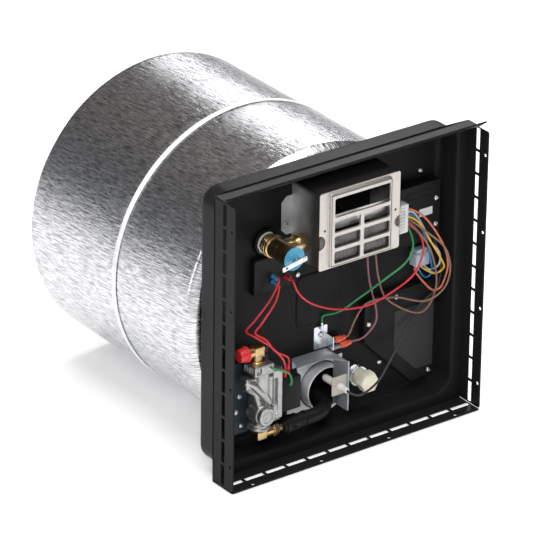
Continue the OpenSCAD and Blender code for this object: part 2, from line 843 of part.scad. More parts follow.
module board_case() {
    color("Black") at_wall() difference() {
        union() {
            difference() {
                prism_y(-case_d, 0) round_rect(case_l, case_r, case_b, case_t, 3);
                prism_y(-case_d + 2, over) round_rect(case_l + 2, case_r - 2, case_b + 2, case_t - 2, 2);
            }
            posts(case_d, case_posts);
            for (x = [case_l + 8, case_r - 28], z = [case_b + 8, case_t - 8]) rod_y(x, z, -case_d + 1, -8, 3);
        }
        block(plug_l - 0.5, plug_l + 6.5, -case_d - over, -case_d + 3, plug_b - 0.5, plug_b + plug_h + 0.5);
        screw_shanks(clear);
    }
}

module control_board() {
    color("DarkGreen") at_wall() difference() {
        union() {
            block(case_l + 3, case_r - 18, -8, -6.4, case_b + 3, case_t - 3);
            block(plug_l, plug_l + 6, -24, -8, plug_b, plug_b + plug_h);
            block(plug_l + 12, case_r - 34, -14, -8, case_b + 16, case_b + 32);
            block(plug_l + 14, case_r - 38, -13, -8, case_b + 50, case_b + 72);
        }
        for (i = [0:6]) block(plug_l + 2, plug_l + 4, -25, -18, plug_b + 3 + 4.2 * i, plug_b + 5 + 4.2 * i);
    }
}

module board_connector() {
    color("White") at_wall() difference() {
        block(case_l, case_l + 14, -31, -case_d, plug_b - 4, plug_b + plug_h + 4);
        block(plug_l - clear, plug_l + 6 + clear, -24 - clear, -case_d + over, plug_b - clear, plug_b + plug_h + clear);
        for (i = [0:6]) block(case_l + 12.5, case_l + 15, -30, -28, plug_b + 0.5 + 4.6 * i, plug_b + 3.5 + 4.6 * i);
    }
}

module inline_connector() {
    color("LightSteelBlue") at_wall() {
        block(inline_l, inline_l + 23, -15, 0, inline_b, inline_b + 18);
        block(inline_l + 3, inline_l + 20, -13, -1, inline_b + 18, inline_b + 24);
    }
}

module wiring_cover() {
    color("DimGray") at_wall() difference() {
        union() {
            difference() {
                prism_y(-cover_d, 0) polygon(cover_outline(0));
                prism_y(-cover_d + sheet, over) polygon(cover_outline(sheet));
            }
            posts(cover_d, cover_posts);
        }
        screw_shanks(clear);
    }
}

module label_plate() {
    color("SlateGray") at_wall() prism_y(-cover_d - 0.5, -cover_d)
        polygon([[case_r - 68, 146], [case_r - 2, 146], [case_r - 2, 50], [case_r - 30, 50], [case_r - 68, 88]]);
}

module screws() {
    color("Silver") at_wall() difference() {
        union() {
            for (s = screw_list) rod_y(s[0], s[1], s[2] - head_h, s[2], head_r);
            screw_shanks(0);
        }
        for (s = screw_list) translate([s[0], s[2] - head_h, s[1]]) {
            cube([5, 1.6, 1], center = true);
            cube([1, 1.6, 5], center = true);
        }
    }
}

// Wires: points are x, depth from the rear wall and z. Those on the right follow the
// control box, and the low ones follow the flue mouth
function part_of(v, from, to) = max(0, min(1, (v - from) / (to - from)));
function hung(points) = [for (p = points) [
    p[0] + part_of(p[0], 119, 135) * (case_r - 178), p[1],
    p[2] + part_of(p[0], 60, 100) * part_of(p[2], 150, 200) * (case_b - 240) + part_of(p[2], 178, 166) * low]];
module wire(points) {
    at_wall() sweep(smooth(hung(points), 7), wire_d / 2);
}

module wire_green() {
    color("SeaGreen") {
        wire([[114, -25, 273.5], [119, -25, 273.5], [116, -40, 254], [102, -43, 234], [74, -36, 215],
              [44, -21, 190], [17, -13, 174], [-3, -4.5, 170], [-5, -3.5, 165], [-5, -3.5, 160]]);
        wire([[-124, -53, 149], [-124, -57, 149], [-113, -61, 145], [-101, -60, 137], [-95, -58, 126],
              [-94, -56, 116], [-94, -52, 116]]);
    }
}

module wire_red() {
    color("Crimson") {
        wire([[114, -25, 277.4], [119, -25, 277.4], [128, -37, 266], [132, -42, 248], [130, -40, 228],
              [119, -36, 206], [89, -31, 189], [51, -28, 179], [2, -27, 187], [-41, -29, 208],
              [-64, -30, 230], [-71, -26, 249], [-71, -20, 249]]);
        wire([[-92, -20, 255], [-92, -25, 255], [-106, -24, 230], [-130, -23, 206], [-147, -28, 198],
              [-144, -44, 195], [-128, -56, 182], [-110, -58, 160], [-98, -49, 138], [-96, -45, 130],
              [-96, -45, 124]]);
        wire([[-92, -20, 247], [-92, -25, 247], [-100, -27, 226], [-122, -28, 202], [-136, -33, 194],
              [-124, -41, 184], [-110, -42, 164], [-86, -38, 146], [-84, -36, 130], [-84, -36, 124]]);
    }
}

module wire_brown() {
    color("RosyBrown") {
        wire([[114, -25, 285.1], [119, -25, 285.1], [132, -45, 272], [162, -49, 242], [176, -45, 206],
              [174, -35, 172], [145, -31, 160], [96, -27, 178], [56, -21, 178], [42, -16, 158],
              [37, -10, 136], [33, -10, 131.5], [28, -10, 131.5]]);
        wire([[114, -25, 281.2], [119, -25, 281.2], [128, -45, 264], [146, -43, 233], [163, -33, 184],
              [158, -25, 148], [136, -23, 142], [90, -21, 174], [76, -19, 208], [73, -15, 242],
              [72, -9, vent_b - 6], [72, -9, vent_b]]);
        wire([[60, -9, vent_b], [60, -9, vent_b - 6], [60, -14, 242], [62, -16, 212], [68, -16, 188],
              [75, -17, 160], [73, -17, 141], [58, -13, 124], [44, -10, 121.5], [38, -10, 121.5]]);
    }
}

module wire_blue() {
    color("DodgerBlue")
        wire([[114, -25, 292.8], [119, -25, 292.8], [131, -27, 283], [142, -29, 260], [150, -28, 240],
              [165, -19, 204], [172, -11, 186], [163, -8, 181], [152, -8, 196], [152, -8, 203]]);
}

module wire_yellow() {
    color("Gold")
        wire([[114, -25, 288.9], [119, -25, 288.9], [131, -33, 279], [147, -37, 251], [170, -35, 214],
              [178, -28, 198], [169, -20, 190], [157, -8, 198], [157, -8, 203]]);
}

module wire_pale() {
    color("Salmon") {
        wire([[114, -25, 300.5], [119, -25, 300.5], [137, -34, 288], [158, -38, 258], [172, -39, 230],
              [180, -35, 204], [180, -27, 178], [174, -25, 168], [164, -20, 168], [147, -8, 193], [147, -8, 203]]);
        wire([[114, -25, 296.6], [119, -25, 296.6], [133, -22, 287], [147, -22, 264], [157, -24, 243],
              [172, -26, 222], [178, -19, 201], [172, -9, 190], [162, -8, 198], [162, -8, 203]]);
    }
}

module ignition_lead() {
    color("Black") at_wall() sweep(smooth(hung(
        [[-7, -64, 84.5], [-7, -70, 84], [3, -74.5, 80], [25, -65, 75], [56, -51, 77], [84, -39, 94],
         [108, -27, 108], [130, -19, 128], [152, -16, 148], [178, -16, 166], [184, -15, 200],
         [176, -10, 234], [174, -10, 239.2]]), 11), lead_d / 2);
}

pan();
foil_jacket();
blanket_wrap();
strap_band();
tank_shell();
flue_tube();
cold_port();
hot_port();
dip_tube();
exhaust_box();
exhaust_grille();
exhaust_baffle();
exhaust_screen();
relief_bushing();
relief_body();
relief_disc();
relief_stem();
relief_spring();
relief_lever();
relief_pin();
thermostat_disc();
limit_disc();
thermostat_cover();
blue_terminals();
red_terminal();
valve_body();
regulator_cap();
inlet_elbow();
inlet_cap();
orifice_fitting();
valve_coil();
valve_plunger();
plunger_spring();
valve_bracket();
burner_tube();
air_shutter();
flue_collar();
burner_bracket();
electrode_clamp();
electrode_ceramic();
electrode_rods();
ground_tab();
thermal_cutoff();
orange_terminals();
drain_neck();
drain_plug();
control_board();
board_case();
board_connector();
inline_connector();
wiring_cover();
label_plate();
screws();
wire_green();
wire_red();
wire_brown();
wire_blue();
wire_yellow();
wire_pale();
ignition_lead();
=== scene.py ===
"""Looks of a gas water heater for a camper wall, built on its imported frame.

Sizes are in millimetres. X runs right as seen from the front, Z runs up, and depth is counted
from the front face of the pan's rear wall, negative towards the viewer. Pieces turn into metres
in the shared frame when they are finished.
"""

import logging
import math
from dataclasses import dataclass
from enum import Enum
from typing import Callable, Iterable, Optional, Sequence

import bmesh
import bpy
from mathutils import Matrix, Vector, noise


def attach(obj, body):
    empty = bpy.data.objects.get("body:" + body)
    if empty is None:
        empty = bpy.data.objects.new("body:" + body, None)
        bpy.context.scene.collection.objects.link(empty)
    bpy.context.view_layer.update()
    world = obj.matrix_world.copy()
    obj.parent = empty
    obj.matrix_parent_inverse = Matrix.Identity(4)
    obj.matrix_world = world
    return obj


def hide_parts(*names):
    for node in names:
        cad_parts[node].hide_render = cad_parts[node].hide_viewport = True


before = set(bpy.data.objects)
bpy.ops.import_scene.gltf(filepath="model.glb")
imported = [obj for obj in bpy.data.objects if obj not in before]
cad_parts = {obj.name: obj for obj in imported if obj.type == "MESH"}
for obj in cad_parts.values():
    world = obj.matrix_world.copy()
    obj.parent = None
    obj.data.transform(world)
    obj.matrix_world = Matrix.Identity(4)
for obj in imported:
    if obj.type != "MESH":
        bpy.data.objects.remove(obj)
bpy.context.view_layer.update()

log = logging.getLogger("heater")
logging.basicConfig(level=logging.INFO, format="%(name)s: %(message)s")

MM = 0.001
WALL = 81.0
HOME = "heater"
DRUM_AXIS = (-10.0, 206.0)
DRUM_RADIUS = 206.0
SCREW_HOLE = 1.8
Point2 = tuple[float, float]
Point3 = tuple[float, float, float]
Colour = tuple[float, float, float]


class Axis(Enum):
    """Axis that a turned piece or a plate's thickness lies along, with the two directions across it."""

    X = ((1, 0, 0), (0, 1, 0), (0, 0, 1))
    Y = ((0, 1, 0), (0, 0, 1), (1, 0, 0))
    Z = ((0, 0, 1), (1, 0, 0), (0, 1, 0))


class Value:
    """A shader socket that takes part in arithmetic."""

    def __init__(self, graph: "Graph", socket: bpy.types.NodeSocket) -> None:
        """Wraps a socket of a graph."""
        self.graph = graph
        self.socket = socket

    def _math(self, operation: str, *items: "Operand") -> "Value":
        """Adds a Math node.

        Args:
            operation: Its operation.
            items: Its inputs in order.

        Returns:
            Its result.
        """
        node = self.graph.node("ShaderNodeMath", settings={"operation": operation})
        for slot, item in zip(node.inputs, items):
            self.graph.feed(slot, item)
        return Value(self.graph, node.outputs[0])

    def __add__(self, other: "Operand") -> "Value":
        """Sum."""
        return self._math("ADD", self, other)

    def __radd__(self, other: "Operand") -> "Value":
        """Sum with a number in front."""
        return self._math("ADD", self, other)

    def __sub__(self, other: "Operand") -> "Value":
        """Difference."""
        return self._math("SUBTRACT", self, other)

    def __rsub__(self, other: "Operand") -> "Value":
        """Difference from a number."""
        return self._math("SUBTRACT", other, self)

    def __mul__(self, other: "Operand") -> "Value":
        """Product."""
        return self._math("MULTIPLY", self, other)

    def __rmul__(self, other: "Operand") -> "Value":
        """Product with a number in front."""
        return self._math("MULTIPLY", self, other)

    def __pow__(self, other: "Operand") -> "Value":
        """Power."""
        return self._math("POWER", self, other)

    def atan2(self, other: "Operand") -> "Value":
        """Angle of the point (other, self)."""
        return self._math("ARCTAN2", self, other)

    def band(self, low: float, high: float) -> "Value":
        """Rises smoothly from 0 at low to 1 at high.

        Args:
            low: Value that gives 0.
            high: Value that gives 1.

        Returns:
            The eased value.
        """
        node = self.graph.node(
            "ShaderNodeMapRange", settings={"interpolation_type": "SMOOTHSTEP"},
            sockets={"Value": self, "From Min": low, "From Max": high},
        )
        return Value(self.graph, node.outputs["Result"])


Operand = Value | float


class Graph:
    """Node tree of one material, built by expression."""

    def __init__(self, name: str) -> None:
        """Starts the material of a finish.

        Args:
            name: Name of the finish.
        """
        self.material = bpy.data.materials.new(f"{name}_finish")
        self.material.use_nodes = True
        self.tree = self.material.node_tree
        self.shader = self.tree.nodes["Principled BSDF"]

    def feed(self, socket: bpy.types.NodeSocket, item: Operand | tuple) -> None:
        """Links a value or sets a constant on an input socket.

        Args:
            socket: Input socket.
            item: Value, number or tuple of numbers.
        """
        if isinstance(item, Value):
            self.tree.links.new(item.socket, socket)
        else:
            socket.default_value = item

    def node(self, kind: str, settings: Optional[dict] = None,
             sockets: Optional[dict] = None) -> bpy.types.Node:
        """Adds any node.

        Args:
            kind: Node type name.
            settings: Properties to set on the node.
            sockets: Input socket names with a value or constant each.

        Returns:
            The node.
        """
        made = self.tree.nodes.new(kind)
        for key, setting in (settings or {}).items():
            setattr(made, key, setting)
        for key, item in (sockets or {}).items():
            self.feed(made.inputs[key], item)
        return made

    def place(self) -> tuple[Value, Value, Value]:
        """Position on the piece in metres.

        Returns:
            X, Y and Z.
        """
        where = self.node("ShaderNodeTexCoord")
        split = self.node("ShaderNodeSeparateXYZ",
                          sockets={"Vector": Value(self, where.outputs["Object"])})
        return tuple(Value(self, split.outputs[i]) for i in range(3))

    def facing_up(self) -> Value:
        """How far the surface faces up, from -1 to 1.

        Returns:
            The upward part of its normal.
        """
        normal = self.node("ShaderNodeNewGeometry").outputs["Normal"]
        split = self.node("ShaderNodeSeparateXYZ", sockets={"Vector": Value(self, normal)})
        return Value(self, split.outputs[2])

    def vector(self, x: Operand, y: Operand, z: Operand) -> Value:
        """Three values as a vector."""
        return Value(self, self.node("ShaderNodeCombineXYZ", sockets={"X": x, "Y": y, "Z": z}).outputs[0])

    def noise(self, size: float, detail: float = 3.0, stretch: Point3 = (1, 1, 1),
              at: Optional[Value] = None,
              rough: float = 0.55) -> Value:
        """Noise with features of a size in millimetres.

        Args:
            size: Feature size in millimetres.
            detail: Octaves.
            stretch: How much longer features are along X, Y and Z.
            at: Position to read in place of the piece's own.
            rough: Share of each finer octave.

        Returns:
            A value around 0.5.
        """
        if at is None:
            scaled = [v * (1.0 / s) if s != 1 else v for v, s in zip(self.place(), stretch)]
            at = self.vector(*scaled)
        made = self.node("ShaderNodeTexNoise", sockets={
            "Vector": at, "Scale": 1000.0 / size, "Detail": detail, "Roughness": rough})
        return Value(self, made.outputs["Fac"])

    def cells(self, size: float) -> Value:
        """Random grey per cell of a size in millimetres.

        Args:
            size: Size of a cell.

        Returns:
            A value from 0 to 1, even over each cell.
        """
        where = Value(self, self.node("ShaderNodeTexCoord").outputs["Object"])
        made = self.node("ShaderNodeTexVoronoi", sockets={"Vector": where, "Scale": 1000.0 / size})
        split = self.node("ShaderNodeSeparateColor",
                          sockets={"Color": Value(self, made.outputs["Color"])})
        return Value(self, split.outputs[0])

    def blend(self, share: Operand, first: Colour | Value, second: Colour | Value) -> Value:
        """Colour between two.

        Args:
            share: How much of the second, from 0 to 1.
            first: First colour.
            second: Second colour.

        Returns:
            The colour.
        """
        made = self.node("ShaderNodeMix", settings={"data_type": "RGBA"})
        self.feed(made.inputs[0], share)
        for slot, colour in ((6, first), (7, second)):
            self.feed(made.inputs[slot], colour if isinstance(colour, Value) else (*colour, 1.0))
        return Value(self, made.outputs[2])

    def bump(self, height: Value, depth: float, strength: float = 1.0,
             under: Optional[Value] = None) -> Value:
        """Surface normal bent by a height.

        Args:
            height: Height from 0 to 1.
            depth: Real depth of that height in millimetres.
            strength: Share of the effect.
            under: A normal to bend further.

        Returns:
            The normal.
        """
        sockets = {"Height": height, "Distance": depth * MM, "Strength": strength}
        if under is not None:
            sockets["Normal"] = under
        return Value(self, self.node("ShaderNodeBump", sockets=sockets).outputs["Normal"])

    def surface(self, **inputs: Operand | tuple) -> bpy.types.Material:
        """Sets the shader's inputs.

        Args:
            inputs: Values by input name, with underscores for spaces.

        Returns:
            The material.
        """
        for key, item in inputs.items():
            name = key.replace("_", " ").title().replace("Ior", "IOR")
            if isinstance(item, tuple) and len(item) == 3:
                item = (*item, 1.0)
            self.feed(self.shader.inputs[name], item)
        return self.material


@dataclass(frozen=True)
class Paint:
    """Sprayed paint: orange peel, uneven gloss, and a little dust on what faces up."""

    name: str
    colour: Colour
    rough: float = 0.38
    dust: float = 0.03
    peel: float = 0.02
    gloss: float = 0.2

    def make(self) -> bpy.types.Material:
        """Builds the material.

        Returns:
            The material.
        """
        g = Graph(self.name)
        broad, fine = g.noise(90, 4), g.noise(1.3, 2)
        specks = g.noise(2.2, 3).band(0.60, 0.74)
        settled = (g.facing_up().band(0.3, 1.0) * 0.8 + 0.2) * (specks * 0.7 + broad * 0.5)
        pale = tuple(min(1.0, c + 0.20) for c in self.colour)
        return g.surface(
            base_color=g.blend(settled * self.dust, self.colour, pale),
            roughness=self.rough - 0.08 + broad * 0.14 + specks * 0.06,
            normal=g.bump(fine, self.peel), specular_ior_level=self.gloss)


@dataclass(frozen=True)
class Metal:
    """Bare metal: tint, tarnish, and a grain that may run along one axis."""

    name: str
    colour: Colour
    rough: float = 0.3
    tarnish: float = 0.3
    grain: float = 0.6
    depth: float = 0.01
    stretch: Point3 = (1, 1, 1)
    metallic: float = 1.0

    def make(self) -> bpy.types.Material:
        """Builds the material.

        Returns:
            The material.
        """
        g = Graph(self.name)
        stain = g.noise(14, 5).band(0.42, 0.75)
        lines = g.noise(self.grain, 3, self.stretch)
        dull = tuple(c * (1 - 0.55 * self.tarnish) for c in self.colour)
        return g.surface(
            base_color=g.blend(stain * 0.8 + lines * 0.2, self.colour, dull),
            metallic=self.metallic,
            roughness=self.rough - 0.05 + stain * 0.16 * self.tarnish + lines * 0.12,
            normal=g.bump(lines, self.depth))


@dataclass(frozen=True)
class Galvanised:
    """Zinc-coated sheet with crystal spangle."""

    name: str
    colour: Colour = (0.42, 0.46, 0.48)
    rough: float = 0.44
    metallic: float = 0.5

    def make(self) -> bpy.types.Material:
        """Builds the material.

        Returns:
            The material.
        """
        g = Graph(self.name)
        spangle, smear = g.cells(7.5), g.noise(30, 4)
        dim = tuple(c * 0.72 for c in self.colour)
        return g.surface(
            base_color=g.blend(spangle * 0.3 + smear * 0.3, self.colour, dim), metallic=self.metallic,
            roughness=self.rough - 0.06 + spangle * 0.1 + smear * 0.1,
            normal=g.bump(g.noise(1.0, 2), 0.012))


@dataclass(frozen=True)
class ShadedSheet:
    """Zinc-coated sheet with painted shade: it darkens away from the wall and along its top edge, where the
    box lies in shade under the pan's top.
    """

    name: str
    wall: float = WALL
    top: float = 380.0
    colour: Colour = (0.66, 0.68, 0.69)
    # Colour of the painted shade.
    shade_colour: Colour = (0.034, 0.032, 0.030)

    def make(self) -> bpy.types.Material:
        """Builds the material.

        Returns:
            The material.
        """
        g = Graph(self.name)
        _, y, z = g.place()
        spangle, smear = g.cells(7.5), g.noise(24, 4)
        # Painted shade: the sheet goes dark and less metallic towards the front and along its top edge.
        front = 1 - (y + (smear - 0.5) * 0.012).band((self.wall - 50) * MM, (self.wall - 4) * MM)
        top_shade = z.band((self.top - 9) * MM, (self.top - 1.5) * MM)
        painted_shade = 1 - (1 - front) * (1 - top_shade)
        clean = g.blend(spangle * 0.3 + smear * 0.3, self.colour, tuple(c * 0.72 for c in self.colour))
        return g.surface(
            base_color=g.blend(painted_shade, clean, self.shade_colour), metallic=0.6 - painted_shade * 0.45,
            roughness=0.42 + spangle * 0.08 + painted_shade * 0.12, normal=g.bump(g.noise(1.0, 2), 0.012))


@dataclass(frozen=True)
class Moulded:
    """Moulded plastic, rubber or ceramic: fine grain, faint flow marks."""

    name: str
    colour: Colour
    rough: float = 0.42
    grain: float = 0.7
    depth: float = 0.015
    coat: float = 0.0
    soft: float = 0.0
    gloss: float = 0.5

    def make(self) -> bpy.types.Material:
        """Builds the material.

        Returns:
            The material.
        """
        g = Graph(self.name)
        flow, fine = g.noise(22, 3), g.noise(self.grain, 2)
        shade = tuple(c * 0.82 for c in self.colour)
        g.shader.inputs["Subsurface Weight"].default_value = self.soft
        g.shader.inputs["Subsurface Radius"].default_value = (0.004, 0.003, 0.002)
        return g.surface(
            base_color=g.blend(flow.band(0.3, 0.75), self.colour, shade),
            roughness=self.rough - 0.06 + flow * 0.1 + fine * 0.04,
            normal=g.bump(fine, self.depth), coat_weight=self.coat, coat_roughness=0.15,
            specular_ior_level=self.gloss)


@dataclass(frozen=True)
class Foil:
    """Crinkled foil round a drum: fine creases that run along it with a slight swirl, and painted light and
    shade along them in its colour.
    """

    name: str
    centre: Point2
    radius: float

    def make(self) -> bpy.types.Material:
        """Builds the material.

        Returns:
            The material.
        """
        g = Graph(self.name)
        x, y, z = g.place()
        across, up = x - self.centre[0] * MM, z - self.centre[1] * MM
        wrap = ((across * across + up * up) ** 0.5).band((self.radius - 16) * MM, (self.radius - 8) * MM)
        arc = across.atan2(up) * (self.radius * MM) + y * 0.08

        def sheet(round_it: Value, on_end: Value) -> Value:
            """A pattern of the wrap that changes to another on the flat end."""
            return on_end + (round_it - on_end) * wrap
        crease = sheet(g.noise(1, 2, at=g.vector(arc * 0.65, y * 0.070, 0.0), rough=0.6),
                       g.noise(3, 2, (6, 1, 1)))
        fine_crease = sheet(g.noise(1, 1, at=g.vector(arc * 0.42 + 0.2, y * 0.030, 0.8), rough=0.5),
                      g.noise(7, 2, (4, 1, 1)))
        fold = sheet(g.noise(1, 2, at=g.vector(arc * 0.22 + 0.3, y * 0.035, 0.4), rough=0.5),
                     g.noise(16, 2, (3, 1, 1)))
        height = crease * 0.45 + fold * 0.5
        broad = g.noise(70, 3)
        # Painted light and shade: the colour runs from dark to bright with the crease pattern, standing in
        # for crinkles that lose and catch the light.
        painted_crease_light = crease.band(0.38, 0.60) * 0.58 + fine_crease.band(0.36, 0.58) * 0.42
        bright = g.blend(broad, (0.84, 0.845, 0.86), (0.70, 0.705, 0.72))
        return g.surface(
            base_color=g.blend(painted_crease_light, (0.27, 0.275, 0.29), bright), metallic=1.0,
            roughness=0.17 + crease * 0.12 + broad * 0.08, normal=g.bump(height, 0.9))


class Finish(Enum):
    """Every finish on the heater."""

    BLACK = Paint("black_paint", (0.0135, 0.0135, 0.014), 0.38, gloss=0.07)
    COVER = Paint("cover_paint", (0.010, 0.010, 0.010), 0.38, gloss=0.1)
    SLATE = Paint("slate_paint", (0.030, 0.042, 0.055), 0.40, gloss=0.25)
    LABEL = Paint("label_grey", (0.035, 0.035, 0.037), 0.5, dust=0.02)
    TANK = Paint("tank_primer", (0.20, 0.21, 0.22), 0.5, gloss=0.4)
    BURNER = Paint("burner_coat", (0.008, 0.008, 0.0085), 0.46, dust=0.05, peel=0.04)
    CREAM = Metal("cream_satin", (0.58, 0.545, 0.505), 0.35, 0.2, 0.8, 0.02, metallic=0.8)
    BEIGE = Paint("beige_plate", (0.46, 0.43, 0.38), 0.45, gloss=0.4)
    FOIL = Foil("foil_wrap", DRUM_AXIS, DRUM_RADIUS)
    STRAP = Moulded("white_strap", (0.86, 0.87, 0.87), 0.32, grain=1.6, depth=0.03)
    GALVANISED = Galvanised("galvanised_sheet")
    EXHAUST_SHEET = ShadedSheet("exhaust_sheet")
    PALE_ZINC = Galvanised("pale_zinc", (0.86, 0.88, 0.90), 0.48, 0.12)
    BAFFLE = Metal("baffle_steel", (0.80, 0.80, 0.80), 0.45, 0.3, 1.2, 0.05)
    MESH = Metal("screen_wire", (0.34, 0.33, 0.32), 0.45, 0.4)
    ZINC = Metal("zinc_plate", (0.70, 0.72, 0.74), 0.25, 0.25)
    STEEL = Metal("bright_steel", (0.66, 0.66, 0.66), 0.24, 0.2, 0.5, 0.006, (8, 1, 1))
    SENSOR = Metal("sensor_can", (0.34, 0.35, 0.36), 0.42, 0.5)
    BRASS = Metal("brass", (0.64, 0.45, 0.22), 0.27, 0.6, 0.5, 0.008)
    GOLD = Metal("yellow_brass", (0.80, 0.60, 0.26), 0.22, 0.25)
    CAST = Metal("cast_aluminium", (0.42, 0.42, 0.41), 0.36, 0.45, 0.8, 0.05, metallic=0.92)
    WHITE = Moulded("white_nylon", (0.82, 0.82, 0.80), 0.40, soft=0.05)
    BLUE = Moulded("blue_plastic", (0.045, 0.30, 0.62), 0.36)
    BLUE_CAP = Moulded("blue_cap", (0.09, 0.42, 0.66), 0.42, grain=1.1, depth=0.03)
    RED = Moulded("red_vinyl", (0.80, 0.030, 0.040), 0.32)
    ORANGE = Moulded("orange_vinyl", (0.84, 0.11, 0.055), 0.30, coat=0.3)
    BLACK_PLASTIC = Moulded("black_plastic", (0.009, 0.009, 0.0095), 0.42, depth=0.03, gloss=0.15)
    GREY_BLUE = Moulded("grey_blue_nylon", (0.50, 0.58, 0.66), 0.42)
    CERAMIC = Moulded("white_ceramic", (0.88, 0.87, 0.84), 0.24, grain=2.0, coat=0.4)
    NYLON = Moulded("cream_nylon", (0.86, 0.84, 0.68), 0.42, grain=1.2, depth=0.03, soft=0.12)
    BOARD = Moulded("circuit_board", (0.02, 0.14, 0.06), 0.36)
    FIBRE = Moulded("blanket_fibre", (0.70, 0.60, 0.34), 0.9, grain=1.0, depth=0.6)
    PAPER = Moulded("white_label", (0.84, 0.85, 0.86), 0.55)
    WIRE_GREEN = Moulded("green_wire", (0.015, 0.27, 0.08), 0.33)
    WIRE_RED = Moulded("red_wire", (0.72, 0.028, 0.045), 0.33)
    WIRE_BROWN = Moulded("brown_wire", (0.26, 0.135, 0.10), 0.36)
    WIRE_MAUVE = Moulded("mauve_wire", (0.30, 0.12, 0.13), 0.36)
    WIRE_BLUE = Moulded("blue_wire", (0.02, 0.22, 0.52), 0.33)
    WIRE_YELLOW = Moulded("yellow_wire", (0.86, 0.54, 0.05), 0.33)
    WIRE_SALMON = Moulded("salmon_wire", (0.72, 0.20, 0.12), 0.33)
    WIRE_WHITE = Moulded("white_wire", (0.80, 0.79, 0.77), 0.36)
    RUBBER = Moulded("black_silicone", (0.030, 0.030, 0.031), 0.34, gloss=0.5)

    def material(self) -> bpy.types.Material:
        """The finish's material, made once."""
        return bpy.data.materials.get(f"{self.value.name}_finish") or self.value.make()


def ring(cx: float, cz: float, r: float, count: int = 40) -> list[Point2]:
    """Points round a circle of radius r."""
    return [(cx + r * math.cos(2 * math.pi * i / count), cz + r * math.sin(2 * math.pi * i / count))
            for i in range(count)]


def screw_hole(x: float, z: float) -> list[Point2]:
    """Outline of the hole for a screw."""
    return ring(x, z, SCREW_HOLE, 16)


def rounded(x0: float, x1: float, z0: float, z1: float, r: float, steps: int = 6) -> list[Point2]:
    """Points round a rectangle with rounded corners, anticlockwise from the lower right.

    Args:
        x0: Left side.
        x1: Right side.
        z0: Lower side.
        z1: Upper side.
        r: Radius of the corners.
        steps: Points along each corner.

    Returns:
        The points.
    """
    points = []
    for cx, cz, start in ((x1 - r, z0 + r, -90), (x1 - r, z1 - r, 0), (x0 + r, z1 - r, 90),
                          (x0 + r, z0 + r, 180)):
        for i in range(steps + 1):
            a = math.radians(start + 90 * i / steps)
            points.append((cx + r * math.cos(a), cz + r * math.sin(a)))
    return points


def box2(x0: float, x1: float, z0: float, z1: float) -> list[Point2]:
    """Corners of a rectangle."""
    return [(x0, z0), (x1, z0), (x1, z1), (x0, z1)]


def eased(profile: Sequence[Point2], r: float, steps: int = 3) -> list[Point2]:
    """Rounds the inner corners of an open profile.

    Args:
        profile: Corner points.
        r: Rounding radius, cut down on short sides.
        steps: Points along each rounding.

    Returns:
        The rounded profile.
    """
    out = [profile[0]]
    for before, here, after in zip(profile, profile[1:], profile[2:]):
        p, a, b = Vector(here), Vector(before), Vector(after)
        cut = min(r, (a - p).length * 0.45, (b - p).length * 0.45)
        if cut < 1e-4:
            out.append(here)
            continue
        start, end = p + (a - p).normalized() * cut, p + (b - p).normalized() * cut
        for i in range(steps + 1):
            t = i / steps
            out.append(tuple(start.lerp(p, t).lerp(p.lerp(end, t), t)))
    out.append(profile[-1])
    return out


def smooth_path(points: Sequence[Point3], step: float) -> list[Vector]:
    """Smooth curve through points.

    Args:
        points: Points it passes.
        step: Distance between its own points in millimetres.

    Returns:
        Points along the curve.
    """
    p = [Vector(q) for q in points]
    out = []
    for i in range(len(p) - 1):
        a, b, c, d = p[max(0, i - 1)], p[i], p[i + 1], p[min(len(p) - 1, i + 2)]
        count = max(1, round((c - b).length / step))
        for k in range(count):
            t = k / count
            out.append(0.5 * (2 * b + (c - a) * t + (2 * a - 5 * b + 4 * c - d) * t * t
                              + (3 * b - a - 3 * c + d) * t ** 3))
    return out + [p[-1]]


def shared(point: Vector) -> Vector:
    """A point given from the rear wall in millimetres, in the shared frame in metres."""
    return Vector((point[0], point[1] + WALL, point[2])) * MM


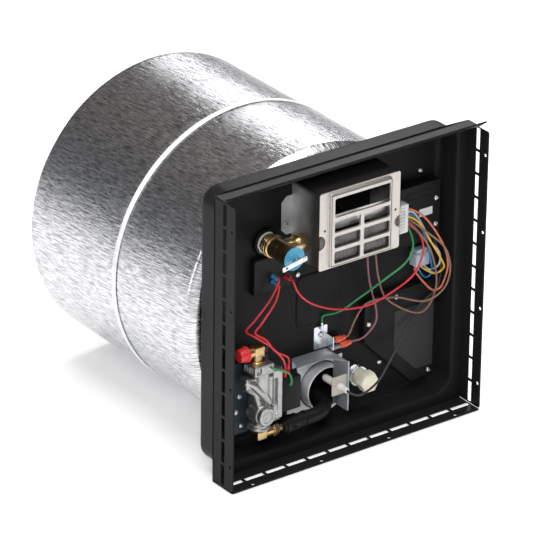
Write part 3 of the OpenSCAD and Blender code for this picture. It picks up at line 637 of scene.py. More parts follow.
class Shape:
    """A piece under construction, from turned, flat, swept and block parts."""

    def __init__(self) -> None:
        """Starts empty."""
        self.bm = bmesh.new()

    def _faces(self, rows: list[list[bmesh.types.BMVert]], wrap_rows: bool) -> None:
        """Joins rows of vertices with quads, and fans where a row is one vertex.

        Args:
            rows: Rows of vertices, each of one or of an equal count.
            wrap_rows: Whether the last row joins the first.
        """
        pairs = list(zip(rows, rows[1:])) + ([(rows[-1], rows[0])] if wrap_rows else [])
        for a, b in pairs:
            count = max(len(a), len(b))
            for i in range(count):
                j = (i + 1) % count
                corner = [a[i % len(a)], a[j % len(a)], b[j % len(b)], b[i % len(b)]]
                corner = [v for n, v in enumerate(corner) if v not in corner[:n]]
                if len(corner) > 2 and not self.bm.faces.get(corner):
                    self.bm.faces.new(corner)

    def turned(self, axis: Axis, centre: Point3, profile: Sequence[Point2], segments: int = 48,
               closed: bool = False, spin: float = 0.0) -> "Shape":
        """Adds a turned part.

        Args:
            axis: Axis it is turned about.
            centre: A point on the axis.
            profile: Radius and distance along the axis of each point.
            segments: Sides round the axis.
            closed: Whether the last point joins the first, as in a ring.
            spin: Angle of the first side, degrees.

        Returns:
            The shape.
        """
        along, u, v = (Vector(d) for d in axis.value)
        rows = []
        for r, t in profile:
            base = Vector(centre) + along * t
            if r < 1e-4:
                rows.append([self.bm.verts.new(base)])
                continue
            angles = [2 * math.pi * i / segments + math.radians(spin) for i in range(segments)]
            rows.append([self.bm.verts.new(base + (u * math.cos(a) + v * math.sin(a)) * r)
                         for a in angles])
        self._faces(rows, closed)
        return self

    def loft(self, loops: Sequence[Sequence[Point3]], closed: bool = False) -> "Shape":
        """Adds a skin through loops.

        Args:
            loops: Loops of equal count, or of one point.
            closed: Whether the last loop joins the first.

        Returns:
            The shape.
        """
        self._faces([[self.bm.verts.new(p) for p in loop] for loop in loops], closed)
        return self

    def swept(self, points: Sequence[Point3], radius: float, sides: int = 12) -> "Shape":
        """Adds a round bar along points, with flat ends.

        Args:
            points: Points of its middle line.
            radius: Its radius.
            sides: Sides round it.

        Returns:
            The shape.
        """
        p = [Vector(q) for q in points]
        tangents = [(p[min(i + 1, len(p) - 1)] - p[max(i - 1, 0)]).normalized() for i in range(len(p))]
        across = tangents[0].orthogonal().normalized()
        rows = [[self.bm.verts.new(p[0])]]
        for here, t in zip(p, tangents):
            across = (across - t * across.dot(t)).normalized()
            other = t.cross(across)
            rows.append([self.bm.verts.new(here + (across * math.cos(a) + other * math.sin(a)) * radius)
                         for a in (2 * math.pi * k / sides for k in range(sides))])
        rows.append([self.bm.verts.new(p[-1])])
        self._faces(rows, False)
        return self

    def block(self, lo: Point3, hi: Point3, bevel: float = 0.5, segments: int = 2) -> "Shape":
        """Adds a box with rounded edges.

        Args:
            lo: Its lowest corner.
            hi: Its highest corner.
            bevel: Radius of its edges, or 0.
            segments: Steps across each edge.

        Returns:
            The shape.
        """
        made = bmesh.ops.create_cube(self.bm, size=1.0)["verts"]
        for v in made:
            v.co = Vector(((a + b) / 2 + c * (b - a) for a, b, c in zip(lo, hi, v.co)))
        if bevel > 0:
            edges = list({e for v in made for e in v.link_edges})
            bmesh.ops.bevel(self.bm, geom=edges, offset=bevel, segments=segments, profile=0.5,
                            affect="EDGES")
        return self

    def plate(self, outline: Sequence[Point2], span: Point2, holes: Iterable[Sequence[Point2]] = (),
              bevel: float = 0.25, axis: Axis = Axis.Y) -> "Shape":
        """Adds a flat plate with holes and softened edges.

        Args:
            outline: Edge points: X and Z for a plate facing Y, Y and Z for X, X and Y for Z.
            span: Where the plate begins and ends along the axis.
            holes: Outlines of the holes.
            bevel: Edge softening.
            axis: Axis of its thickness.

        Returns:
            The shape.
        """
        curve = bpy.data.curves.new("flat", "CURVE")
        curve.dimensions, curve.fill_mode = "2D", "BOTH"
        for loop in (outline, *holes):
            spline = curve.splines.new("POLY")
            spline.points.add(len(loop) - 1)
            for point, (a, b) in zip(spline.points, loop):
                point.co = (a, b, 0, 1)
            spline.use_cyclic_u = True
        half = abs(span[1] - span[0]) / 2
        bevel = min(bevel, half * 0.9)
        curve.extrude, curve.offset = half - bevel, -bevel
        curve.bevel_depth, curve.bevel_resolution = bevel, 1
        holder = bpy.data.objects.new("flat", curve)
        mesh = bpy.data.meshes.new_from_object(holder)
        middle = sum(span) / 2
        turn = {Axis.X: ((0, 0, 1, middle), (1, 0, 0, 0), (0, 1, 0, 0)),
                Axis.Y: ((1, 0, 0, 0), (0, 0, 1, middle), (0, 1, 0, 0)),
                Axis.Z: ((1, 0, 0, 0), (0, 1, 0, 0), (0, 0, 1, middle))}[axis]
        mesh.transform(Matrix((*turn, (0, 0, 0, 1))))
        self.bm.from_mesh(mesh)
        bpy.data.objects.remove(holder)
        bpy.data.curves.remove(curve)
        bpy.data.meshes.remove(mesh)
        return self

    def moved(self, change: Callable[[Vector], Vector]) -> "Shape":
        """Moves every point.

        Args:
            change: Gives a point's new place.

        Returns:
            The shape.
        """
        for v in self.bm.verts:
            v.co = change(v.co)
        return self

    def cut(self, values: Iterable[float], along: Point3) -> "Shape":
        """Adds edges where the shape crosses planes.

        Args:
            values: Distances of the planes from the origin.
            along: Direction that the planes lie across.

        Returns:
            The shape.
        """
        for value in values:
            geometry = [*self.bm.verts, *self.bm.edges, *self.bm.faces]
            bmesh.ops.bisect_plane(self.bm, geom=geometry, plane_co=Vector(along) * value, plane_no=along)
        return self

    def join(self, other: "Shape") -> "Shape":
        """Takes in another shape.

        Args:
            other: Shape to take in.

        Returns:
            The shape.
        """
        mesh = bpy.data.meshes.new("join")
        other.bm.to_mesh(mesh)
        self.bm.from_mesh(mesh)
        bpy.data.meshes.remove(mesh)
        return self

    def _modified(self, add: Callable[[bpy.types.Object], None]) -> "Shape":
        """Runs modifiers on the shape.

        Args:
            add: Puts the modifiers on an object that holds the shape.

        Returns:
            The shape.
        """
        mesh = bpy.data.meshes.new("work")
        bmesh.ops.recalc_face_normals(self.bm, faces=self.bm.faces)
        self.bm.to_mesh(mesh)
        holder = bpy.data.objects.new("work", mesh)
        bpy.context.scene.collection.objects.link(holder)
        add(holder)
        bpy.context.view_layer.update()
        graph = bpy.context.evaluated_depsgraph_get()
        result = bpy.data.meshes.new_from_object(holder.evaluated_get(graph))
        self.bm.clear()
        self.bm.from_mesh(result)
        bpy.data.objects.remove(holder)
        for used in (mesh, result):
            bpy.data.meshes.remove(used)
        return self

    def cast(self, voxel: float = 0.8, passes: int = 6) -> "Shape":
        """Melts the parts into one casting with soft inner corners.

        Args:
            voxel: Grain of the melt.
            passes: Rounds of smoothing.

        Returns:
            The shape.
        """
        def add(holder: bpy.types.Object) -> None:
            """Melts, then softens.

            Args:
                holder: Object that holds the shape.
            """
            melt = holder.modifiers.new("melt", "REMESH")
            melt.mode, melt.voxel_size = "VOXEL", voxel
            soften = holder.modifiers.new("soften", "SMOOTH")
            soften.iterations, soften.factor = passes, 0.5
        return self._modified(add)

    def without(self, cutter: "Shape") -> "Shape":
        """Cuts another shape out of this one.

        Args:
            cutter: Shape to cut out.

        Returns:
            The shape.
        """
        mesh = bpy.data.meshes.new("cutter")
        bmesh.ops.recalc_face_normals(cutter.bm, faces=cutter.bm.faces)
        cutter.bm.to_mesh(mesh)
        tool = bpy.data.objects.new("cutter", mesh)
        bpy.context.scene.collection.objects.link(tool)

        def add(holder: bpy.types.Object) -> None:
            """Cuts.

            Args:
                holder: Object that holds the shape.
            """
            cut = holder.modifiers.new("cut", "BOOLEAN")
            cut.operation, cut.object = "DIFFERENCE", tool
            cut.solver, cut.use_self = "EXACT", True
        self._modified(add)
        bpy.data.objects.remove(tool)
        bpy.data.meshes.remove(mesh)
        return self

    def done(self, name: str, finish: Finish, nodes: Sequence[str] = (), body: str = HOME, slot: str = "",
             angle: float = 38.0) -> bpy.types.Object:
        """Finishes the piece and sets it in the scene.

        Args:
            name: Piece name.
            finish: Finish it takes.
            nodes: CAD nodes that it stands for.
            body: Body it rides on.
            slot: Record slot of its finish, if it stands for no node; not used.
            angle: Edges sharper than this stay sharp, degrees.

        Returns:
            The object.
        """
        bmesh.ops.recalc_face_normals(self.bm, faces=self.bm.faces)
        self.moved(shared)
        mesh = bpy.data.meshes.new(name)
        self.bm.to_mesh(mesh)
        self.bm.free()
        mesh.shade_smooth()
        mesh.set_sharp_from_angle(angle=math.radians(angle))
        mesh.materials.append(finish.material())
        return settle(bpy.data.objects.new(name, mesh), nodes, body)


def settle(piece: bpy.types.Object, nodes: Sequence[str], body: str) -> bpy.types.Object:
    """Links a piece, ties it to its body, and hides the CAD nodes that it stands for.

    Args:
        piece: Object to set in the scene.
        nodes: CAD nodes that it stands for.
        body: Body it rides on.

    Returns:
        The piece.
    """
    bpy.context.scene.collection.objects.link(piece)
    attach(piece, body)
    if nodes:
        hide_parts(*nodes)
    return piece


def dress(finish: Finish, *nodes: str) -> None:
    """Gives CAD nodes that stay in view a finish.

    Args:
        finish: Finish they take.
        nodes: Their names.
    """
    for node in nodes:
        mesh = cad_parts[node].data
        mesh.materials.clear()
        mesh.materials.append(finish.material())


@dataclass
class Pan:
    """Drawn black pan: box, ledge, four slotted flanges, and a panel pressed into its rear wall."""

    half: float = 205.5
    high: float = 411.0
    rim: float = 44.0
    strip: float = 20.0
    bend: float = 40.0
    left: float = -201.5
    right: float = 188.0
    low: float = 17.0
    top: float = 408.0
    corner: float = 23.0
    fillet: float = 4.5
    slots: int = 12
    pitch: float = 112.0
    take_up: float = 0.985
    panel: tuple = (-46.0, 30.0, 160.0, 236.0)

    def _loop(self, grow: float, y: float) -> list[Point3]:
        """Outline of the box at a depth, grown outward.

        Args:
            grow: How far outward.
            y: The depth.

        Returns:
            The points.
        """
        outline = rounded(self.left - grow, self.right + grow, self.low - grow, self.top + grow,
                          max(1.0, self.corner + grow), 8)
        return [(x, y, z) for x, z in outline]

    def _edge(self, y: float) -> list[Point3]:
        """Outer edge of the ledge at a depth."""
        return [(x, y, z) for x, z in rounded(-self.half, self.half, 0, self.high, 1.0, 8)]

    def _shell(self) -> Shape:
        """Box and ledge as one sheet with rounded folds.

        Returns:
            The shape.
        """
        face, f = self.rim - 1 - WALL, self.fillet
        turn = [math.radians(15 * i) for i in range(7)]
        inside = [self._edge(face)]
        inside += [self._loop(f * (1 - math.sin(a)), face + f * (1 - math.cos(a))) for a in turn]
        inside += [self._loop(-9 * (1 - math.cos(a)), -9 + 9 * math.sin(a)) for a in turn]
        outside = [self._loop(1 - 10 * (1 - math.cos(a)), -9 + 10 * math.sin(a)) for a in reversed(turn)]
        outside += [self._loop(1 + (f - 1) * (1 - math.sin(a)), face + 1 + (f - 1) * (1 - math.cos(a)))
                    for a in reversed(turn)]
        return Shape().loft([*inside, *outside, self._edge(face + 1)], closed=True)

    def _flange(self, length: float, bend: float, clip: float) -> Shape:
        """A flange drawn flat: X along it, Z forward of the ledge, thickness inward along Y.

        Args:
            length: Its length.
            bend: How far its strip beyond the slots is bent outward, degrees.
            clip: Size of the corner cut off one end.

        Returns:
            The shape.
        """
        flat, end, half = self.rim - self.strip, self.rim, length / 2
        outline = [(-half, 0.3), (half, 0.3), (half, end - clip), (half - clip, end), (-half + 2, end),
                   (-half, end - 2)]
        step = length / self.slots
        holes = [rounded((i - (self.slots - 1) / 2) * step - 15, (i - (self.slots - 1) / 2) * step + 15,
                         flat - 5.75, flat + 1.75, 1.0, 3) for i in range(self.slots)]
        holes += [ring((i - 1.5) * self.pitch, end - 6, 2.3, 20) for i in range(4)]
        shape = Shape().plate(outline, (0, 1), holes, 0.22)
        shape.block((-half + 2, 0.4, end - 2.6), (half - clip, 2.3, end - 0.1), 0.8, 2)
        if not bend:
            return shape
        shape.cut([flat - 1.5 + 0.6 * i for i in range(6)], (0, 0, 1))

        def fold(p: Vector) -> Vector:
            """Bends what lies beyond the slots, and takes up the length that the bend adds.

            Args:
                p: A point of the flat flange.

            Returns:
                Its place on the bent one.
            """
            share = min(1.0, max(0.0, (p.z - flat + 1.5) / 3.0))
            a = math.radians(bend) * share
            run = max(0.0, p.z - flat) * self.take_up
            inward = p.y * math.cos(a) - run * math.sin(a)
            forward = min(p.z, flat) + run * math.cos(a) + p.y * math.sin(a)
            return Vector((p.x, inward, forward))
        return shape.moved(fold)

    def build(self) -> None:
        """Builds the pan."""
        shape = self._shell()
        edge = self.rim - WALL
        side = self.high - 4.4
        sides = ((2 * self.half, 0, 2, lambda p: Vector((p.x, edge - p.z, p.y))),
                 (2 * self.half, self.bend, 12, lambda p: Vector((-p.x, edge - p.z, self.high - p.y))),
                 (side, 0, 2, lambda p: Vector((-self.half + p.y, edge - p.z, self.high / 2 - p.x))),
                 (side, 0, 2, lambda p: Vector((self.half - p.y, edge - p.z, self.high / 2 + p.x))))
        for length, bend, clip, put in sides:
            shape.join(self._flange(length, bend, clip).moved(put))
        holes = [ring(-99.5, 304, 19), ring(-4, 67, 32.3, 64), ring(-9, 308, 32.3, 64), ring(51, 68, 15.3),
                 rounded(-112, -60, 238, 264, 3)]
        shape.plate([(x, z) for x, _, z in self._loop(-9, 0)], (0, 1), holes, 0.02)
        x0, x1, z0, z1 = self.panel
        steps = ((0, 0.2), (0.3, -0.5), (1.1, -1.5), (2.2, -1.9), (4, -2))
        pressed = [[(x, y, z) for x, z in rounded(x0 + g, x1 - g, z0 + g, z1 - g, 10 - g * 0.5, 6)]
                   for g, y in steps]
        shape.loft([*pressed, [((x0 + x1) / 2, -2, (z0 + z1) / 2)]])
        shape.done("pan_pressing", Finish.BLACK, ["pan"], angle=30)


@dataclass
class Drum:
    """Foil-wrapped tank with its strap and the water sockets at the back."""

    x: float = DRUM_AXIS[0]
    z: float = DRUM_AXIS[1]
    radius: float = DRUM_RADIUS
    front: float = 1.0
    length: float = 371.0
    edge: float = 7.0
    strap_at: float = 173.0
    strap_width: float = 8.5
    count: int = 420

    def _loop(self, y: float, radius: Callable[[float], float]) -> list[Point3]:
        """Points round the drum at a depth.

        Args:
            y: The depth.
            radius: Gives the radius by angle.

        Returns:
            The points.
        """
        angles = [2 * math.pi * i / self.count for i in range(self.count)]
        return [(self.x + radius(a) * math.cos(a), y, self.z + radius(a) * math.sin(a)) for a in angles]

    def _sag(self, angle: float, y: float) -> float:
        """How far the foil lies inside its full radius.

        Args:
            angle: Angle round the drum.
            y: Depth along it.

        Returns:
            The distance.
        """
        u, v = math.cos(angle), math.sin(angle)
        crease = noise.noise(Vector((u * 42 + y * 0.03, v * 42, y * 0.03 + 7)))
        broad = noise.noise(Vector((u * 3.0, v * 3.0, y * 0.012)))
        tuck = math.exp(-((y - self.strap_at) / 7.0) ** 2)
        return min(2.6, max(0.0, 0.9 + broad * 0.7 + crease * 0.15 + tuck * 0.9))

    def build(self) -> None:
        """Builds the wrap, what it covers, the strap and the sockets."""
        back, rows = self.front + self.length, 130
        tucked = ((0.05, 24.0), (0.1, 9.0), (1.5, 7.4), (5, 4.0), (10, 1.2))
        stations = [(self.front + y, inset) for y, inset in tucked]
        stations += [(self.front + 14 + (self.length - 22) * i / rows, 0.0) for i in range(rows + 1)]
        turn = [math.radians(15 * i) for i in range(1, 7)]
        stations += [(back - self.edge * (1 - math.sin(a)), self.edge * (1 - math.cos(a))) for a in turn]
        loops = [self._loop(y, lambda a: self.radius - inset - self._sag(a, y)) for y, inset in stations]
        for share in (0.93, 0.85, 0.75, 0.6, 0.4, 0.2):
            flat = self._loop(back, lambda a: (self.radius - self.edge) * share)
            loops.append([(x, y - min(2.4, max(0.0, 1.1 + noise.noise(Vector((x, z, 0)) * 0.02) * 0.9)),
                           z)
                          for x, y, z in flat])
        loops.append([(self.x, back - 1.0, self.z)])
        Shape().loft(loops).done("foil_wrap", Finish.FOIL, ["foil_jacket"], angle=75)
        self._blanket(back)
        self._strap()
        self._sockets()

    def _blanket(self, back: float) -> None:
        """Insulation under the foil, seen only at the front edge.

        Args:
            back: Depth of the drum's flat end.
        """
        outer, inner, start = self.radius - 12, self.radius - 20, self.front + 0.4
        profile = [(inner, start), (outer, start), (outer + 7, start + 12), (outer + 7, back - 8),
                   (inner, back - 4)]
        fibre = Shape().turned(Axis.Y, (self.x, 0, self.z), eased(profile, 3), segments=96)
        fibre.done("blanket_layer", Finish.FIBRE, ["blanket_wrap"])

    def _strap(self) -> None:
        """Band round the foil, which follows its unevenness."""
        w = self.strap_width / 2
        rows = ((-w, -0.4), (-w, 0.5), (-w + 0.8, 0.85), (0, 0.95), (w - 0.8, 0.85), (w, 0.5), (w, -0.4))

        def lie(a: float) -> float:
            """How far the band lies inside the full radius at an angle."""
            return 0.6 * max(0.0, 0.7 + 0.5 * noise.noise(Vector((math.cos(a) * 4, math.sin(a) * 4, 3))))
        loops = [self._loop(self.strap_at + y, lambda a: self.radius - lie(a) + out) for y, out in rows]
        Shape().loft(loops, closed=True).done("strap", Finish.STRAP, ["strap_band"], angle=60)

    def _sockets(self) -> None:
        """Water sockets at the back, and finishes of what stays hidden in the drum."""
        for name, z in (("cold_port", 120), ("hot_port", 300)):
            shape = Shape()
            y0, y1 = 359.0, 393.0
            threads = [p for i in range(10) for p in ((9.5, y1 - 2 - 2 * i), (8.9, y1 - 3 - 2 * i))]
            shape.turned(Axis.Y, (95, 0, z),
                         eased([(8, y0 - 4), (11, y0 - 4), (11, y0), (15, y0), (15, y1 - 6)], 0.6)
                         + eased([(15, y1 - 6), (14.2, y1 - 5), (14.2, y1), (10.6, y1), (9.5, y1 - 1.2)],
                                 0.5)
                         + threads + [(8, y1 - 23)], closed=True)
            shape.turned(Axis.Y, (95, 0, z), [(0, y0 + 13), (7.6, y0 + 13)])
            shape.done(name + "_socket", Finish.TANK, [name], angle=40)
        dress(Finish.WHITE, "dip_tube")
        dress(Finish.TANK, "tank_shell")


@dataclass
class Exhaust:
    """Exhaust box with its cream grille, deflector and wire screen."""

    left: float = -55.0
    right: float = 74.0
    low: float = 272.0
    top: float = 380.0
    deep: float = 60.0
    raised: float = 4.0

    def build(self) -> None:
        """Builds the box, grille, deflector and screen."""
        l, r, b, t, d = self.left, self.right, self.low, self.top, self.deep
        box = Shape()
        for side in ((l, l + 1), (r - 1, r)):
            box.plate(box2(-d, 0, b, t), side, bevel=0.2, axis=Axis.X)
        for side in ((b, b + 1), (t - 1, t)):
            box.plate(box2(l, r, -d, 0), side, bevel=0.2, axis=Axis.Z)
        ear = [(0, 35), (0, 92), (-12, 92), (-20, 84), (-20, 43), (-12, 35)]
        left_ear = [(0, 31.5), (0, 86.5), (-9.5, 86.5), (-17.5, 78.5), (-17.5, 39.5), (-9.5, 31.5)]
        box.plate([(l + x + 0.5, b + z) for x, z in left_ear], (-1, 0), [screw_hole(-66, b + 49)])
        box.plate([(r - x * 0.9 - 0.5, b + z) for x, z in ear], (-1, 0), [screw_hole(83, b + 63)])
        box.done("exhaust_housing", Finish.EXHAUST_SHEET, ["exhaust_box"])
        self._grille()
        self._deflector()
        self._screen()

    def _grille(self) -> None:
        """Cream front: a rim plate with a raised field of seven gaps."""
        l, r, b, t, d = self.left - 1, self.right + 1, self.low - 1, self.top + 1, self.deep
        gaps = [rounded(-34, 55.8, self.low + 72, self.low + 98.5, 2.5, 4)]
        for z in (6, 28, 50):
            for x0, x1 in ((-34, 8), (13.6, 55.8)):
                gaps.append(rounded(x0, x1, self.low + z, self.low + z + 16.8, 2.5, 4))
        half = [math.pi * i / 14 for i in range(15)]
        notch = [(l + 10 * math.sin(a), b + 40 + 10 * math.cos(a)) for a in half]
        bite = [(r - 8 * math.sin(a), b + 38 - 8 * math.cos(a)) for a in half]
        outline = [(l + 2, b), (r - 2, b), (r, b + 2), *bite, (r, t - 2), (r - 2, t), (l + 2, t),
                   (l, t - 2), *notch, (l, b + 2)]
        openings = [rounded(-40, 58.6, b + 4, t - 5, 3, 5), ring(-47, b + 56, 1.6, 16),
                    ring(68, b + 56, 1.6, 16)]
        shape = Shape().plate(outline, (-d - 1.2, -d), openings, 0.3)

        def step(grow: float, out: float) -> list[Point3]:
            """Outline of the raised field, grown outward, at a distance out of the plate."""
            field = rounded(-41.2 - grow, 59.8 + grow, b + 2.2 - grow, t - 3.2 + grow, 4 + grow, 6)
            return [(x, -d - out, z) for x, z in field]
        h = self.raised
        slope = ((1.2, 1.0), (0.5, 1.5), (0.1, 2.2), (0, h - 0.2), (-0.4, h + 0.7), (-1.4, h + 1.2),
                 (-2.6, h + 1.2))
        shape.loft([step(grow, out) for grow, out in slope])
        shape.plate(rounded(-40, 58.6, b + 3.4, t - 4.4, 2.5, 5), (-d - h - 1.2, -d - h), gaps, 0.3)
        for gap in gaps:
            shape.loft([[(x, -d - out, z) for x, z in gap] for out in (h + 0.6, h - 1.6)])
        shape.done("exhaust_front", Finish.CREAM, ["exhaust_grille"])

    def _deflector(self) -> None:
        """Uneven bright sheet behind the upper gap."""
        l, r, d = self.left, self.right, self.deep
        sheet = Shape().plate(box2(l + 1.2, r - 1.2, 0, 23), (0, 0.8), bevel=0.2, axis=Axis.Z)
        sheet.cut([2.5 * i for i in range(1, 9)], (0, 1, 0))
        sheet.cut([l + 6 * i for i in range(1, 21)], (1, 0, 0))
        a = math.radians(-80)

        def hang(p: Vector) -> Vector:
            """Hangs the flat sheet steeply behind the grille, slightly dented and curved.

            Args:
                p: A point of the flat sheet.

            Returns:
                Its place in the box.
            """
            dent = 0.9 * noise.noise(Vector((p.x * 0.06, p.y * 0.10, 2)))
            h = p.z + dent + 0.02 * (p.y - 12) ** 2 - 1.2
            inward = p.y * math.cos(a) - h * math.sin(a)
            up = p.y * math.sin(a) + h * math.cos(a)
            return Vector((p.x, -d + 5 + inward, self.low + 69 + up))
        sheet.moved(hang).done("exhaust_deflector", Finish.BAFFLE, ["exhaust_baffle"])

    def _screen(self) -> None:
        """Woven wire screen behind the lower gaps."""
        shape, pitch, d = Shape(), 2.2, self.deep
        l, r, b, t = self.left + 1.5, self.right - 1.5, self.low + 1.5, self.low + 46
        across, up = int((r - l) / pitch), int((t - b) / pitch)
        for i in range(across + 1):
            x = l + i * pitch
            wire = [(x, -d + 0.4 + 0.22 * (-1) ** (i + k), b + k * pitch) for k in range(up + 1)]
            shape.swept(wire, 0.4, 4)
        for k in range(up + 1):
            z = b + k * pitch
            wire = [(l + i * pitch, -d + 0.4 - 0.22 * (-1) ** (i + k), z) for i in range(across + 1)]
            shape.swept(wire, 0.4, 4)
        shape.done("exhaust_mesh", Finish.MESH, ["exhaust_screen"], angle=60)


@dataclass
class ReliefValve:
    """Brass pressure relief valve with its blue cap and lift lever."""

    x: float = -99.5
    z: float = 304.0
    tilt: float = 10.5

    def _turned(self, shape: Shape, profile: Sequence[Point2], **more: float) -> Shape:
        """Adds a part turned about the valve's own axis."""
        return shape.turned(Axis.Y, (self.x, 0, self.z), profile, **more)

    def build(self) -> None:
        """Builds the bushing, body, cap and lever."""
        seal = eased([(13.3, 11), (13.3, -9), (14.2, -9), (14.9, -8), (14.9, 11), (13.3, 11)], 0.5)
        self._turned(Shape(), seal).done("relief_seal", Finish.WHITE, ["relief_bushing"])
        gasket = eased([(15, 10), (15, -7), (17.6, -7), (18.5, -6), (18.5, 10), (15, 10)], 0.6)
        self._turned(Shape(), gasket).done("relief_gasket", Finish.BLACK_PLASTIC, slot="black_plastic")
        stem = eased([(6, 14.5), (12.5, 14.5), (12.5, -8), (12.8, -14), (12.8, -17), (15.5, -18), (15.5, -24),
                      (13.2, -25), (13.2, -40), (14.5, -42), (14.5, -65), (0, -65)], 0.8)
        body = self._turned(Shape(), stem, segments=64)
        flats = eased([(12.4, -9.2), (14.4, -9.2), (15, -10), (15, -13), (14.4, -13.8), (12.4, -13.8)], 0.2)
        self._turned(body, flats, segments=6, spin=30)
        outlet = eased([(0, 6), (10.5, 8), (10.5, 24), (13, 29), (13, 40), (9.5, 40), (7.8, 38), (7.5, 24),
                        (0, 24)], 0.8)
        body.turned(Axis.X, (self.x, -31, self.z), outlet, segments=48)
        body.done("relief_casting", Finish.BRASS, ["relief_body"])
        hoop = eased([(15.2, -18.6), (16.0, -19.2), (16.0, -20.4), (15.2, -21)], 0.2)
        band = self._turned(Shape(), hoop)
        band.done("relief_band", Finish.GOLD, slot="brass")
        face = eased([(2.5, -65), (15.4, -65), (16, -65.4), (16, -66.6), (15.4, -67), (14.2, -67),
                      (13.8, -66.6), (6.2, -66.6), (5.8, -67), (2.5, -67)], 0.15)
        cap = self._turned(Shape(), face, segments=64, closed=True)
        cap.done("relief_face", Finish.BLUE_CAP, ["relief_disc"])
        strip = rounded(-27, 13, -3.6, 3.6, 1.6, 4)
        lever = Shape().plate(strip, (-77, -75.5), [ring(-20, 0, 1.8, 20)], 0.3)
        cheek = [(-4, -75.8), (4, -75.8), (4, -70), (2, -68), (-2, -68), (-4, -70)]
        for z in (-3.6, 2.6):
            lever.plate(cheek, (z, z + 1), bevel=0.2, axis=Axis.Z)
        rivet = eased([(0, -78.0), (2.0, -78.0), (2.7, -77.2), (2.7, -76.9), (0, -76.9)], 0.3)
        lever.turned(Axis.Y, (9, 0, 0), rivet, segments=20)
        a = math.radians(-self.tilt)

        def lean(p: Vector) -> Vector:
            """Sets the lever on the valve at its tilt.

            Args:
                p: A point of the level lever about its pin.

            Returns:
                Its place on the valve.
            """
            across = p.x * math.cos(a) + p.z * math.sin(a)
            up = p.z * math.cos(a) - p.x * math.sin(a)
            return Vector((self.x + across, p.y, self.z + up))
        lever.moved(lean).done("relief_handle", Finish.STEEL, ["relief_lever"], body="relief_lever")
        dress(Finish.BRASS, "relief_stem")
        dress(Finish.STEEL, "relief_pin", "relief_spring")


@dataclass
class Thermostat:
    """Thermostat and limit switch under a black cover, with their push-on terminals."""

    def build(self) -> None:
        """Builds the cover and terminals."""
        cover = Shape().plate(rounded(-122, -57, 232, 284, 4), (-11, 0),
                              [rounded(-119.5, -59.5, 234.5, 281.5, 3)], 0.8)
        cover.plate(rounded(-120, -59, 234, 282, 3), (-10.6, -9.2),
                    [ring(-92, 255, 3.4, 24), ring(-92, 247, 3.4, 24), ring(-71, 249, 3.4, 24)], 0.3)
        cover.done("stat_cover", Finish.BLACK_PLASTIC, ["thermostat_cover"])
        sleeve = eased([(0, -6), (2.9, -6), (3.0, -7), (3.0, -13), (2.4, -15), (2.5, -18.5), (2.9, -20),
                        (1.5, -20), (0, -19.4)], 0.35)
        terminals = (("blue_sleeves", Finish.BLUE, "blue_terminals", ((-92, 255), (-92, 247))),
                     ("red_sleeve", Finish.RED, "red_terminal", ((-71, 249),)))
        for name, finish, node, spots in terminals:
            shape = Shape()
            for x, z in spots:
                shape.turned(Axis.Y, (x, 0, z), sleeve, segments=28)
            shape.done(name, finish, [node])
        dress(Finish.SENSOR, "thermostat_disc", "limit_disc")


